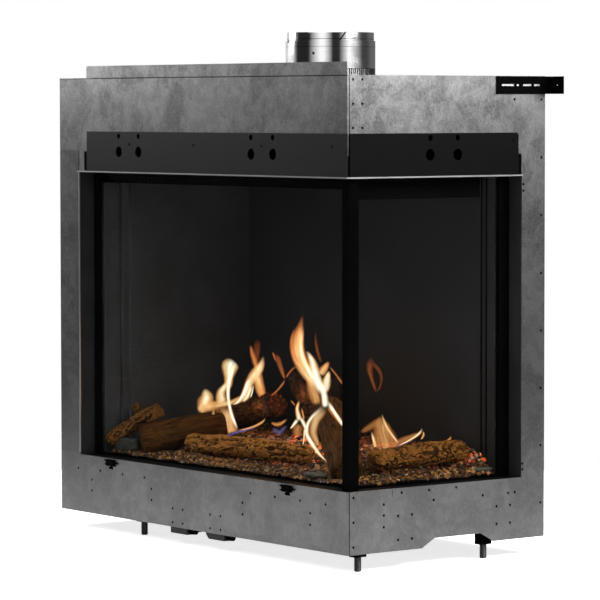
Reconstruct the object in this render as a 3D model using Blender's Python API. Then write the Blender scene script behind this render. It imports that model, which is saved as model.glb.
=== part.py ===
"""Corner gas fireplace insert, in metres with +Z up.

The casing stands on four levelling feet. Its front faces -Y and its glazed
side faces +X. Places inside the casing are measured from its left side, its
front face and its lower edge, and one empty carries every piece to the
origin, which is the middle of the footprint at floor level.
"""

import math
import random

import bmesh
import bpy
from mathutils import Matrix, Vector

# Casing
BODY_WIDTH = 1.092
BODY_DEPTH = 0.554
BODY_HEIGHT = 1.016
SHEET = 0.0015
GAP = 0.0003
OVERRUN = 0.010
FRONT_RETURN = 0.004
CORNER_SEAM = 0.002

# Window opening, from the casing's left, front and lower edges
OPENING_LEFT = 0.081
REAR_STILE = 0.067
OPENING_REAR = BODY_DEPTH - REAR_STILE
OPENING_BOTTOM = 0.135
HEAD_HEIGHT = 0.215
OPENING_TOP = BODY_HEIGHT - HEAD_HEIGHT
STILE_RISE = 0.047
STILE_TOP = OPENING_TOP + STILE_RISE
STILE_BOTTOM_RISE = 0.004
STILE_BOTTOM = OPENING_BOTTOM + STILE_BOTTOM_RISE

# Cut-out in the side's lower edge
NOTCH_FRONT_SHARE = 0.3682
NOTCH_REAR_SHARE = 0.7329
NOTCH_SLOPE = 0.036
NOTCH_HEIGHT = 0.020
TOE_CHAMFER = 0.004

# Strip above the front's upper edge
UPSTAND_LEFT = 0.112
UPSTAND_HEIGHT = 0.028
UPSTAND_FOOT = 0.024

# Raised base plate
BASE_LEVEL = 0.024

# Black fascia rails over the opening
RAIL_LEFT = 0.1174
RAIL_REAR_INSET = 0.013
RAIL_REAR = OPENING_REAR - RAIL_REAR_INSET
RAIL_HEIGHT = 0.0915
RAIL_TOP = OPENING_TOP + RAIL_HEIGHT
RAIL_THICK = 0.0015
RAIL_CORNER = 0.004
BACKING_LEFT = 0.104
BACKING_REAR_INSET = 0.003
BACKING_REAR = OPENING_REAR - BACKING_REAR_INSET
BACKING_HEIGHT = 0.045
BACKING_TOP = OPENING_TOP + BACKING_HEIGHT
BACKING_THICK = 0.0012
RAIL_HOLE_RISE = 0.0453
RAIL_HOLE_LEVEL = OPENING_TOP + RAIL_HOLE_RISE
RAIL_HOLE_RADIUS = 0.0125
RAIL_PILOT_RISE = 0.0813
RAIL_PILOT_LEVEL = OPENING_TOP + RAIL_PILOT_RISE
RAIL_PILOT_RADIUS = 0.0062
FRONT_PAIR_SHARES = (0.2637, 0.7289)
FRONT_PAIR_SPREAD = 0.0787
SIDE_PAIR_SHARE = 0.4733
SIDE_PAIR_SPREAD = 0.0768
HOLE_CLEARANCE = 0.002

# Bright trim round the opening
TRIM_HEIGHT = 0.003
TRIM_PROUD = 0.0045
TRIM_SIDE_PROUD = 0.001

# Reveals, sill and soffit between the casing and the panes
PANE_SETBACK = 0.042
REVEAL_FLANGE = 0.022
SILL_DROP = 0.0005
SILL_DEPTH = 0.0525
SOFFIT_DEPTH = 0.038
SOFFIT_LIP = 0.018

# Corner post
POST_SETBACK = 0.014
POST_WIDTH = 0.022
POST_DEPTH = 0.0275
POST_WALL = 0.002

# Panes and their black borders
GLASS_THICK = 0.004
BORDER_THICK = 0.0017
PANE_BOTTOM_CLEARANCE = 0.0015
PANE_BOTTOM = OPENING_BOTTOM + PANE_BOTTOM_CLEARANCE
PANE_LAP = 0.011
PANE_TOP = OPENING_TOP + PANE_LAP
PANE_SIDE_CLEARANCE = 0.0017
BORDER_OUTER = 0.0243
BORDER_INNER = 0.010
BORDER_BOTTOM = 0.004
BORDER_TOP = 0.016
BORDER_REAR = 0.029
PIVOT_DROP = 0.004
PIVOT_LEVEL = PANE_TOP - PIVOT_DROP
PIVOT_BEHIND = 0.004

# Firebox
FLOOR_DROP = 0.017
FLOOR_TOP = OPENING_BOTTOM - FLOOR_DROP
FLOOR_FRONT = 0.050
SKIRT_FRONT = 0.082
LINER_REAR_INSET = 0.025
LINER_BACK = OPENING_REAR - LINER_REAR_INSET
SKIRT_LAP = 0.006
SKIRT_REAR = LINER_BACK + SKIRT_LAP
LINER_LEFT = 0.125
LINER_RISE = 0.0605
LINER_TOP = OPENING_TOP + LINER_RISE
LINER_LEFT_START = 0.118
FOLD_FACE = 0.1085
FOLD_GROOVE = 0.094
FOLD_GROOVE_WIDTH = 0.0065
FOLD_GROOVE_DEPTH = 0.004
FOLD_SECOND = 0.1135
REAR_FOLD_STEP = 0.006
REAR_FOLD_FACE = LINER_BACK - REAR_FOLD_STEP
REAR_FOLD_WIDTH = 0.037
REAR_FOLD_GROOVE = 0.015
HEADER_FRONT = 0.0387
HEADER_DEPTH = 0.0138
HEADER_CLEARANCE = 0.0012
HEADER_BOTTOM = PANE_TOP + HEADER_CLEARANCE

# Burner, fuel and gas train
BURNER_LEFT_INSET = 0.175
BURNER_LEFT = LINER_LEFT + BURNER_LEFT_INSET
BURNER_LENGTH = 0.560
BURNER_REAR_INSET = 0.097
BURNER_DEPTH = 0.130
BURNER_FRONT = LINER_BACK - BURNER_REAR_INSET - BURNER_DEPTH
BURNER_DROP = 0.022
BURNER_FLANGE = 0.012
BURNER_PORT_RADIUS = 0.003
BURNER_PORT_PITCH = 0.050
BED_LOW_RISE = 0.0055
BED_HIGH_RISE = 0.051
BED_FRONT_LEDGE = 0.108
BED_FRONT_SLOPE = 0.110
BED_SIDE_LEDGE = 0.054
BED_SIDE_SLOPE = 0.070
BED_CORNER_INSET = 0.093
BED_CORNER_SLOPE = 0.070
BED_EDGE_SLOPE = 0.060
BED_BUMP = 0.0035
BED_WAVE = 0.016
BED_COLUMNS = 42
BED_ROWS = 16
HEAP_X = 0.140
HEAP_Y = 0.090
HEAP_HEIGHT = 0.017
HEAP_RADIUS = 0.034
VALVE_LEFT_INSET = 0.100
VALVE_LEFT = BURNER_LEFT + VALVE_LEFT_INSET
VALVE_WIDTH = 0.074
VALVE_FRONT_INSET = 0.027
VALVE_FRONT = BURNER_FRONT + VALVE_FRONT_INSET
VALVE_DEPTH = 0.060
VALVE_HEIGHT = 0.052
KNOB_RADIUS = 0.014
KNOB_LENGTH = 0.018
KNOB_RIB = 0.004
KNOB_RIB_SHARE = 0.8
FEED_RADIUS = 0.008
FEED_NUT_RADIUS = 0.012
INLET_X = 0.350
INLET_Y = 0.056
INLET_RADIUS = 0.006
INLET_BEND = 0.018
INLET_REACH = 0.010

# Flue
FLUE_X_SHARE = 0.52564
FLUE_X = BODY_WIDTH * FLUE_X_SHARE
FLUE_REAR_INSET = 0.194
FLUE_Y = BODY_DEPTH - FLUE_REAR_INSET
FLUE_OUTER_RADIUS = 0.1025
FLUE_SPIGOT_RADIUS = 0.0993
FLUE_INNER_RADIUS = 0.065
FLUE_WALL = 0.0012
FLUE_RING_HEIGHT = 0.0193
FLUE_RING_RADIUS = 0.1022
FLUE_RIB_DEPTH = 0.0016
FLUE_RIB_COUNT = 40
FLUE_STEP_RISE = 0.0775
FLUE_STEP_LEVEL = BODY_HEIGHT + FLUE_STEP_RISE
FLUE_BEAD_DROP = 0.011
FLUE_BEAD_LEVEL = FLUE_STEP_LEVEL - FLUE_BEAD_DROP
FLUE_BEAD = 0.0012
FLUE_RISE = 0.1017
FLUE_TOP = BODY_HEIGHT + FLUE_RISE
FLUE_INNER_DROP = 0.0057
FLUE_INNER_TOP = FLUE_TOP - FLUE_INNER_DROP
FLUE_FOOT = 0.014

# Levelling feet
FOOT_DROP = 0.039
FOOT_RADIUS = 0.008
FOOT_CLEARANCE = 0.0004
FOOT_LENGTH = 0.094
FOOT_CHAMFER = 0.0012
FOOT_BLOCK_WIDTH = 0.021
FOOT_BLOCK_DEPTH = 0.031
FOOT_BLOCK_BOTTOM = 0.0075
FOOT_LEFT_SHARE = 0.2546
FOOT_LEFT_X = BODY_WIDTH * FOOT_LEFT_SHARE
FOOT_RIGHT_INSET = 0.022
FOOT_FRONT_Y = 0.045
FOOT_REAR_INSET = 0.158
FOOT_REAR_Y = BODY_DEPTH - FOOT_REAR_INSET

# Connection boxes under the base
BOX_FRONT = 0.005
BOX_BOTTOM = 0.0145
LEFT_BOX_SHARE = 0.402
LEFT_BOX_X = BODY_WIDTH * LEFT_BOX_SHARE
LEFT_BOX_WIDTH = 0.063
LEFT_BOX_DEPTH = 0.016
LEFT_GLAND_LENGTH = 0.032
BOX_PITCH = 0.136
RIGHT_BOX_X = LEFT_BOX_X + BOX_PITCH
RIGHT_BOX_WIDTH = 0.068
RIGHT_BOX_DEPTH = 0.025
RIGHT_GLAND_LENGTH = 0.014
BOX_CHAMFER = 0.010
GLAND_RADIUS = 0.0058
GLAND_LEVEL = 0.0068

# Pane catches
CATCH_SHARES = (0.19185, 0.80861)
CATCH_DROP = 0.010
CATCH_LEVEL = OPENING_BOTTOM - CATCH_DROP
CATCH_WIDTH = 0.031
CATCH_HEIGHT = 0.0150
CATCH_THICK = 0.007
CATCH_WING = 0.0115
CATCH_WING_HEIGHT = 0.0045
CATCH_WING_THICK = 0.0025
CATCH_BODY_WIDTH_SHARE = 0.9
CATCH_BODY_HEIGHT_SHARE = 0.85

# Wall brackets
BRACKET_LAP = 0.142
BRACKET_FRONT = BODY_DEPTH - BRACKET_LAP
BRACKET_REACH = 0.012
BRACKET_DROP = 0.0008
BRACKET_TOP = BODY_HEIGHT - BRACKET_DROP
BRACKET_HEIGHT = 0.0385
BRACKET_THICK = 0.003
BRACKET_FLANGE = 0.045
BRACKET_SLOT_LENGTH = 0.050
BRACKET_SLOT_HEIGHT = 0.0052
BRACKET_SLOT_INSET = 0.0385
BRACKET_SLOT_PITCH = 0.061
BRACKET_HOLE_RADIUS = 0.0024
BRACKET_HOLE_SHARE = 0.55

# Logs and stones
FIRE_HEIGHT = 0.100
LOG_RADIUS = 0.036
STONE_SIZE = 0.020
STONE_RISE = 0.0125
STONE_LIFT = 0.014
STONE_PANE_GAP = 0.0225
STONE_WALL_GAP = 0.0255
STONE_FRONT_SHARE = 0.811
LOG_SIDES = 14
LOG_RINGS = 12
LOG_ROUGHNESS_SHARE = 0.07
STONE_SQUASH_SHARE = 0.55
SEAT_GAP = 0.0004

ORIGIN_Y = (BODY_DEPTH + BRACKET_REACH - CATCH_THICK - GAP) / 2

SMOOTH_ANGLE = math.radians(35)
ROUND_STEPS = 48
HOLE_STEPS = 20
HEX_SIDES = 6


def clear_scene():
    """Remove everything the file starts with."""
    for obj in list(bpy.data.objects):
        bpy.data.objects.remove(obj, do_unlink=True)


def material(name, colour, metallic, roughness, alpha=1.0):
    """Return a Principled material."""
    mat = bpy.data.materials.get(name) or bpy.data.materials.new(name)
    mat.use_nodes = True
    shader = mat.node_tree.nodes["Principled BSDF"]
    shader.inputs["Base Color"].default_value = (*colour, 1.0)
    shader.inputs["Metallic"].default_value = metallic
    shader.inputs["Roughness"].default_value = roughness
    shader.inputs["Alpha"].default_value = alpha
    return mat


def galvanised():
    return material("galvanised_sheet", (0.30, 0.30, 0.31), 0.9, 0.45)


def black_steel():
    return material("black_painted_steel", (0.012, 0.012, 0.013), 0.2, 0.5)


def dark_liner():
    return material("firebox_liner", (0.02, 0.02, 0.021), 0.1, 0.6)


def bright_steel():
    return material("bright_steel", (0.62, 0.62, 0.63), 1.0, 0.25)


def ceramic_glass():
    return material("ceramic_glass", (0.85, 0.87, 0.86), 0.0, 0.02, 0.2)


def bark():
    return material("ceramic_bark", (0.16, 0.09, 0.045), 0.0, 0.9)


def embers():
    return material("ember_bed", (0.22, 0.11, 0.05), 0.0, 0.9)


def stone():
    return material("stone", (0.13, 0.15, 0.13), 0.0, 0.8)


def brass():
    return material("brass", (0.55, 0.40, 0.16), 1.0, 0.35)


def new_object(name, bm, mat, frame, location=(0, 0, 0), smooth=False):
    """Turn a bmesh into a named object carried by the casing frame."""
    bmesh.ops.recalc_face_normals(bm, faces=bm.faces)
    mesh = bpy.data.meshes.new(name)
    bm.to_mesh(mesh)
    bm.free()
    if smooth:
        mesh.shade_smooth()
        mesh.set_sharp_from_angle(angle=SMOOTH_ANGLE)
    mesh.materials.append(mat)
    obj = bpy.data.objects.new(name, mesh)
    bpy.context.scene.collection.objects.link(obj)
    obj.parent = frame
    obj.location = location
    return obj


def extruded(outline, direction, holes=()):
    """Return a bmesh of a flat outline of 3D points pushed along a direction."""
    bm = bmesh.new()
    verts = [bm.verts.new(Vector(p)) for p in outline]
    face = bm.faces.new(verts)
    grown = bmesh.ops.extrude_face_region(bm, geom=[face])
    moved = [g for g in grown["geom"] if isinstance(g, bmesh.types.BMVert)]
    bmesh.ops.translate(bm, vec=Vector(direction), verts=moved)
    return bm


def plan_prism(points, low, high):
    """Extrude an outline of (x, y) points from one level up to another."""
    return extruded([(x, y, low) for x, y in points], (0, 0, high - low))


def front_prism(points, front, back):
    """Extrude an outline of (x, z) points along Y."""
    return extruded([(x, front, z) for x, z in points], (0, back - front, 0))


def side_prism(points, left, right):
    """Extrude an outline of (y, z) points along X."""
    return extruded([(left, y, z) for y, z in points], (right - left, 0, 0))


def rectangle(x0, y0, x1, y1):
    """Return the four corners of a rectangle."""
    return [(x0, y0), (x1, y0), (x1, y1), (x0, y1)]


def box(low, high):
    """Return a bmesh block between two corners."""
    return plan_prism(rectangle(low[0], low[1], high[0], high[1]), low[2], high[2])


def folded(points, thickness):
    """Thicken an open run of points to its left, as a folded sheet, and close it."""
    shifted = []
    runs = [Vector(b) - Vector(a) for a, b in zip(points, points[1:])]
    sides = [Vector((-r.y, r.x)).normalized() for r in runs]
    for i, p in enumerate(points):
        before = sides[max(i - 1, 0)]
        after = sides[min(i, len(sides) - 1)]
        mitre = before + after
        mitre *= 2 / mitre.length_squared if mitre.length_squared else 1
        shifted.append(tuple(Vector(p) + mitre * thickness))
    return list(points) + shifted[::-1]


def round_corners(points, radius, steps=4):
    """Round every corner of an outline."""
    result = []
    count = len(points)
    for i, p in enumerate(points):
        corner = Vector(p)
        back = (Vector(points[i - 1]) - corner).normalized()
        ahead = (Vector(points[(i + 1) % count]) - corner).normalized()
        for k in range(steps + 1):
            t = k / steps
            start = corner + back * radius
            end = corner + ahead * radius
            point = start * (1 - t) ** 2 + corner * 2 * t * (1 - t) + end * t ** 2
            result.append(tuple(point))
    return result


def revolved(profile, steps=ROUND_STEPS):
    """Spin a closed run of (radius, height) points round Z."""
    bm = bmesh.new()
    verts = [bm.verts.new((r, 0, z)) for r, z in profile]
    edges = [bm.edges.new((verts[i - 1], verts[i])) for i in range(len(verts))]
    bmesh.ops.spin(bm, geom=verts + edges, cent=(0, 0, 0), axis=(0, 0, 1),
                   angle=math.tau, steps=steps, use_merge=True)
    bmesh.ops.remove_doubles(bm, verts=bm.verts, dist=GAP / ROUND_STEPS)
    return bm


def cylinder(radius, start, end, steps=HOLE_STEPS):
    """Return a closed cylinder between two points."""
    bm = bmesh.new()
    axis = Vector(end) - Vector(start)
    bmesh.ops.create_cone(bm, cap_ends=True, segments=steps, radius1=radius,
                          radius2=radius, depth=axis.length)
    turn = axis.to_track_quat("Z", "Y").to_matrix().to_4x4()
    middle = (Vector(start) + Vector(end)) / 2
    bmesh.ops.transform(bm, matrix=Matrix.Translation(middle) @ turn, verts=bm.verts)
    return bm


def joined(*parts):
    """Gather several bmeshes into one."""
    result = bmesh.new()
    for part in parts:
        mesh = bpy.data.meshes.new("gathered")
        part.to_mesh(mesh)
        part.free()
        result.from_mesh(mesh)
        bpy.data.meshes.remove(mesh)
    return result


def combine(target, tool_bm, name, operation):
    """Cut or unite a target with a hidden tool shape."""
    tool = new_object(name, tool_bm, target.data.materials[0], target.parent, target.location)
    tool.hide_render = True
    tool.display_type = "WIRE"
    step = target.modifiers.new(name, "BOOLEAN")
    step.operation = operation
    step.solver = "EXACT"
    step.object = tool
    return tool


def cut(target, tool_bm, name):
    """Take a shape away from a target."""
    return combine(target, tool_bm, name, "DIFFERENCE")


def unite(target, tool_bm, name):
    """Add a shape to a target."""
    return combine(target, tool_bm, name, "UNION")


def casing_frame():
    """Return the empty that carries the casing's own coordinates to the origin."""
    frame = bpy.data.objects.new("casing_frame", None)
    bpy.context.scene.collection.objects.link(frame)
    frame.location = (-BODY_WIDTH / 2, -ORIGIN_Y, FOOT_DROP)
    return frame


def side_outline(window):
    """Return the side's (y, z) outline, with its lower cut-out and maybe the window."""
    front = SHEET + GAP
    if window:
        front = FRONT_RETURN + CORNER_SEAM
    rear = BODY_DEPTH if window else BODY_DEPTH - SHEET - GAP
    notch_front = BODY_DEPTH * NOTCH_FRONT_SHARE
    notch_rear = BODY_DEPTH * NOTCH_REAR_SHARE
    points = [
        (front, 0),
        (notch_front, 0),
        (notch_front + NOTCH_SLOPE, NOTCH_HEIGHT),
        (notch_rear - NOTCH_SLOPE, NOTCH_HEIGHT),
        (notch_rear, 0),
        (rear - TOE_CHAMFER, 0),
        (rear, TOE_CHAMFER),
        (rear, BODY_HEIGHT),
        (front, BODY_HEIGHT),
    ]
    if window:
        points += [
            (front, OPENING_TOP),
            (OPENING_REAR, OPENING_TOP),
            (OPENING_REAR, OPENING_BOTTOM),
            (front, OPENING_BOTTOM),
        ]
    return points


def rail_hole_places():
    """Return the front holes' x places and the side holes' y places."""
    front = []
    for share in FRONT_PAIR_SHARES:
        middle = BODY_WIDTH * share
        front += [middle - FRONT_PAIR_SPREAD / 2, middle + FRONT_PAIR_SPREAD / 2]
    middle = BODY_DEPTH * SIDE_PAIR_SHARE
    side = [middle - SIDE_PAIR_SPREAD / 2, middle + SIDE_PAIR_SPREAD / 2]
    return front, side


def front_hole_tool(extra, pilots=True):
    """Return cylinders for the holes over the front opening."""
    tools = []
    for x in rail_hole_places()[0]:
        ends = (x, -OVERRUN, RAIL_HOLE_LEVEL), (x, OVERRUN, RAIL_HOLE_LEVEL)
        tools.append(cylinder(RAIL_HOLE_RADIUS + extra, *ends))
        if pilots:
            ends = (x, -OVERRUN, RAIL_PILOT_LEVEL), (x, OVERRUN, RAIL_PILOT_LEVEL)
            tools.append(cylinder(RAIL_PILOT_RADIUS + extra, *ends))
    return joined(*tools)


def side_hole_tool(extra, pilots=True):
    """Return cylinders for the holes over the side opening."""
    tools = []
    low, high = BODY_WIDTH - OVERRUN, BODY_WIDTH + OVERRUN
    for y in rail_hole_places()[1]:
        ends = (low, y, RAIL_HOLE_LEVEL), (high, y, RAIL_HOLE_LEVEL)
        tools.append(cylinder(RAIL_HOLE_RADIUS + extra, *ends))
        if pilots:
            ends = (low, y, RAIL_PILOT_LEVEL), (high, y, RAIL_PILOT_LEVEL)
            tools.append(cylinder(RAIL_PILOT_RADIUS + extra, *ends))
    return joined(*tools)


def front_plan():
    """Return the plan of a front sheet with its return round the corner."""
    return [
        (0, 0),
        (BODY_WIDTH, 0),
        (BODY_WIDTH, FRONT_RETURN),
        (BODY_WIDTH - SHEET, FRONT_RETURN),
        (BODY_WIDTH - SHEET, SHEET),
        (0, SHEET),
    ]


def catch_places():
    """Return the x places of the pane catches."""
    return [BODY_WIDTH * share for share in CATCH_SHARES]


def build_casing(frame):
    """Make the galvanised outer sheets."""
    mat = galvanised()
    inset = SHEET + GAP
    stile_edge = OPENING_LEFT - TRIM_HEIGHT + SHEET / 2 - GAP

    upper = new_object("front_upper_panel", plan_prism(front_plan(), OPENING_TOP, BODY_HEIGHT), mat, frame)
    notch = box((-OVERRUN, -OVERRUN, OPENING_TOP - OVERRUN), (OPENING_LEFT, OVERRUN, STILE_TOP))
    cut(upper, notch, "upper_notch_tool")
    cut(upper, front_hole_tool(HOLE_CLEARANCE), "upper_hole_tool")

    outline = rectangle(0, STILE_BOTTOM + GAP, stile_edge, STILE_TOP - GAP)
    new_object("front_left_stile", front_prism(outline, 0, SHEET), mat, frame)

    lower = new_object("front_lower_panel", plan_prism(front_plan(), 0, STILE_BOTTOM), mat, frame)
    top_cut = box((OPENING_LEFT, -OVERRUN, OPENING_BOTTOM),
                  (BODY_WIDTH + OVERRUN, OVERRUN, STILE_BOTTOM + OVERRUN))
    cut(lower, top_cut, "lower_edge_tool")
    half = CATCH_WING / 2
    slots = [
        box((x - half, -OVERRUN, CATCH_LEVEL - CATCH_HEIGHT), (x + half, OVERRUN, CATCH_LEVEL))
        for x in catch_places()
    ]
    cut(lower, joined(*slots), "catch_slot_tool")

    upstand = [
        (0, BODY_HEIGHT + GAP),
        (UPSTAND_FOOT, BODY_HEIGHT + GAP),
        (UPSTAND_FOOT, BODY_HEIGHT + GAP + SHEET),
        (SHEET, BODY_HEIGHT + GAP + SHEET),
        (SHEET, BODY_HEIGHT + UPSTAND_HEIGHT),
        (0, BODY_HEIGHT + UPSTAND_HEIGHT),
    ]
    new_object("front_upstand", side_prism(upstand, UPSTAND_LEFT, BODY_WIDTH - SHEET), mat, frame)

    sheet = side_prism(side_outline(True), BODY_WIDTH - SHEET, BODY_WIDTH)
    side = new_object("right_side_panel", sheet, mat, frame)
    cut(side, side_hole_tool(HOLE_CLEARANCE), "side_hole_tool")
    new_object("left_side_panel", side_prism(side_outline(False), 0, SHEET), mat, frame)

    back = rectangle(inset, 0, BODY_WIDTH - inset, BODY_HEIGHT)
    back_low = BODY_DEPTH - SHEET
    new_object("back_panel", front_prism(back, back_low, BODY_DEPTH), mat, frame)

    plate = rectangle(inset, inset, BODY_WIDTH - inset, back_low - GAP)
    top = new_object("top_plate", plan_prism(plate, BODY_HEIGHT - SHEET, BODY_HEIGHT), mat, frame)
    low = (FLUE_X, FLUE_Y, BODY_HEIGHT - OVERRUN)
    high = (FLUE_X, FLUE_Y, BODY_HEIGHT + OVERRUN)
    cut(top, cylinder(FLUE_SPIGOT_RADIUS - FLUE_WALL, low, high, ROUND_STEPS), "flue_hole_tool")

    base = new_object("base_plate", plan_prism(plate, BASE_LEVEL, BASE_LEVEL + SHEET), mat, frame)
    holes = []
    for x, y in foot_places():
        ends = (x, y, BASE_LEVEL - OVERRUN), (x, y, BASE_LEVEL + OVERRUN)
        holes.append(cylinder(FOOT_RADIUS + FOOT_CLEARANCE, *ends))
    pipe = (INLET_X, INLET_Y, BASE_LEVEL - OVERRUN), (INLET_X, INLET_Y, BASE_LEVEL + OVERRUN)
    holes.append(cylinder(INLET_RADIUS + GAP, *pipe))
    cut(base, joined(*holes), "base_hole_tool")


def build_rails(frame):
    """Make the black fascia rails, their backing strip and the bright trim."""
    mat = black_steel()
    backing_front = -GAP - BACKING_THICK
    rail_back = backing_front - GAP
    rail_front = rail_back - RAIL_THICK
    right = BODY_WIDTH - rail_front

    outline = rectangle(RAIL_LEFT, OPENING_TOP, right, RAIL_TOP)
    rail = new_object("front_fascia_rail", front_prism(outline, rail_front, rail_back), mat, frame)
    cut(rail, front_hole_tool(0), "front_rail_tool")

    start = FRONT_RETURN + GAP
    outline = [
        (start, OPENING_TOP),
        (RAIL_REAR, OPENING_TOP),
        (RAIL_REAR, RAIL_TOP - RAIL_CORNER),
        (RAIL_REAR - RAIL_CORNER, RAIL_TOP),
        (start, RAIL_TOP),
    ]
    rail = new_object("side_fascia_rail", side_prism(outline, BODY_WIDTH - rail_back, right), mat, frame)
    cut(rail, side_hole_tool(0), "side_rail_tool")

    edge = BODY_WIDTH + GAP
    outline = [
        (BACKING_LEFT, backing_front),
        (edge + BACKING_THICK, backing_front),
        (edge + BACKING_THICK, BACKING_REAR),
        (edge, BACKING_REAR),
        (edge, -GAP),
        (BACKING_LEFT, -GAP),
    ]
    backing = new_object("rail_backing_strip", plan_prism(outline, OPENING_TOP, BACKING_TOP), mat, frame)
    cut(backing, front_hole_tool(HOLE_CLEARANCE, False), "backing_front_tool")
    cut(backing, side_hole_tool(HOLE_CLEARANCE, False), "backing_side_tool")

    left = OPENING_LEFT - TRIM_HEIGHT + SHEET / 2
    low = OPENING_TOP - GAP - TRIM_HEIGHT
    outline = [
        (left, -TRIM_PROUD),
        (BODY_WIDTH + TRIM_PROUD, -TRIM_PROUD),
        (BODY_WIDTH + TRIM_PROUD, OPENING_REAR - GAP),
        (BODY_WIDTH - SHEET, OPENING_REAR - GAP),
        (BODY_WIDTH - SHEET, SHEET),
        (left, SHEET),
    ]
    trim = new_object("opening_trim", plan_prism(outline, low, OPENING_TOP - GAP), bright_steel(), frame)
    bar = box((left, -TRIM_SIDE_PROUD, STILE_BOTTOM + GAP),
              (OPENING_LEFT + SHEET / 2, SHEET, low + TRIM_HEIGHT / 2))
    unite(trim, bar, "trim_bar_tool")


def corner_plan(left, front, rear, right_inset, width):
    """Return an L-shaped plan that runs along the front and turns down the side."""
    right = BODY_WIDTH - right_inset
    return [
        (left, front),
        (right, front),
        (right, rear),
        (right - width, rear),
        (right - width, front + width),
        (left, front + width),
    ]


def build_reveals(frame):
    """Make the black jambs, sill, soffit, header and corner post."""
    mat = black_steel()
    inset = SHEET + GAP
    low = OPENING_BOTTOM - SILL_DROP
    rear = OPENING_REAR - GAP
    jamb_low = low + GAP
    jamb_high = OPENING_TOP - GAP

    left = OPENING_LEFT + SHEET + GAP
    plan = corner_plan(left, inset, rear, inset, SILL_DEPTH - inset)
    sill = new_object("window_sill", plan_prism(plan, FLOOR_TOP + GAP, low), mat, frame)
    inner = corner_plan(left - OVERRUN, inset + SHEET, rear + OVERRUN, inset + SHEET,
                        SILL_DEPTH - inset - 2 * SHEET)
    cut(sill, plan_prism(inner, FLOOR_TOP - OVERRUN, low - SHEET), "sill_hollow_tool")

    plan = corner_plan(left, inset, rear, inset, SOFFIT_DEPTH - inset)
    soffit_top = OPENING_TOP + SOFFIT_LIP
    soffit = new_object("window_soffit", plan_prism(plan, OPENING_TOP, soffit_top), mat, frame)
    inner = corner_plan(left - OVERRUN, inset + SHEET, rear + OVERRUN, inset + SHEET,
                        SOFFIT_DEPTH - inset - 2 * SHEET)
    cut(soffit, plan_prism(inner, OPENING_TOP + SHEET, soffit_top + OVERRUN), "soffit_hollow_tool")

    face = OPENING_LEFT
    run = [(face - SHEET - REVEAL_FLANGE, inset), (face, inset), (face, PANE_SETBACK - SHEET / 2)]
    new_object("left_jamb", plan_prism(folded(run, SHEET), jamb_low, jamb_high), mat, frame)

    run = [
        (BODY_WIDTH - PANE_SETBACK, OPENING_REAR + GAP),
        (BODY_WIDTH - inset, OPENING_REAR + GAP),
        (BODY_WIDTH - inset, OPENING_REAR + REVEAL_FLANGE),
    ]
    new_object("rear_jamb", plan_prism(folded(run, SHEET), jamb_low, jamb_high), mat, frame)

    x1 = BODY_WIDTH - POST_SETBACK
    x0 = x1 - POST_WIDTH
    y1 = POST_SETBACK + POST_DEPTH
    lip = BODY_WIDTH - PANE_SETBACK - BORDER_THICK - GLASS_THICK - 2 * GAP
    outline = [
        (x0, POST_SETBACK),
        (x1, POST_SETBACK),
        (x1, y1),
        (lip, y1),
        (lip, y1 - POST_WALL),
        (x0, y1 - POST_WALL),
    ]
    post = new_object("corner_post", plan_prism(outline, jamb_low, jamb_high), mat, frame)
    hollow = rectangle(x0 + POST_WALL, POST_SETBACK + POST_WALL, x1 - POST_WALL, y1 - POST_WALL)
    cut(post, plan_prism(hollow, jamb_low - OVERRUN, jamb_high + OVERRUN), "post_hollow_tool")

    plan = corner_plan(left, HEADER_FRONT, rear, HEADER_FRONT, HEADER_DEPTH)
    header = new_object("pane_header", plan_prism(plan, HEADER_BOTTOM, LINER_TOP), mat, frame)
    inner = corner_plan(left - OVERRUN, HEADER_FRONT + SHEET, rear + OVERRUN, HEADER_FRONT + SHEET,
                        HEADER_DEPTH - 2 * SHEET)
    cut(header, plan_prism(inner, HEADER_BOTTOM + SHEET, LINER_TOP + OVERRUN), "header_hollow_tool")


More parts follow.
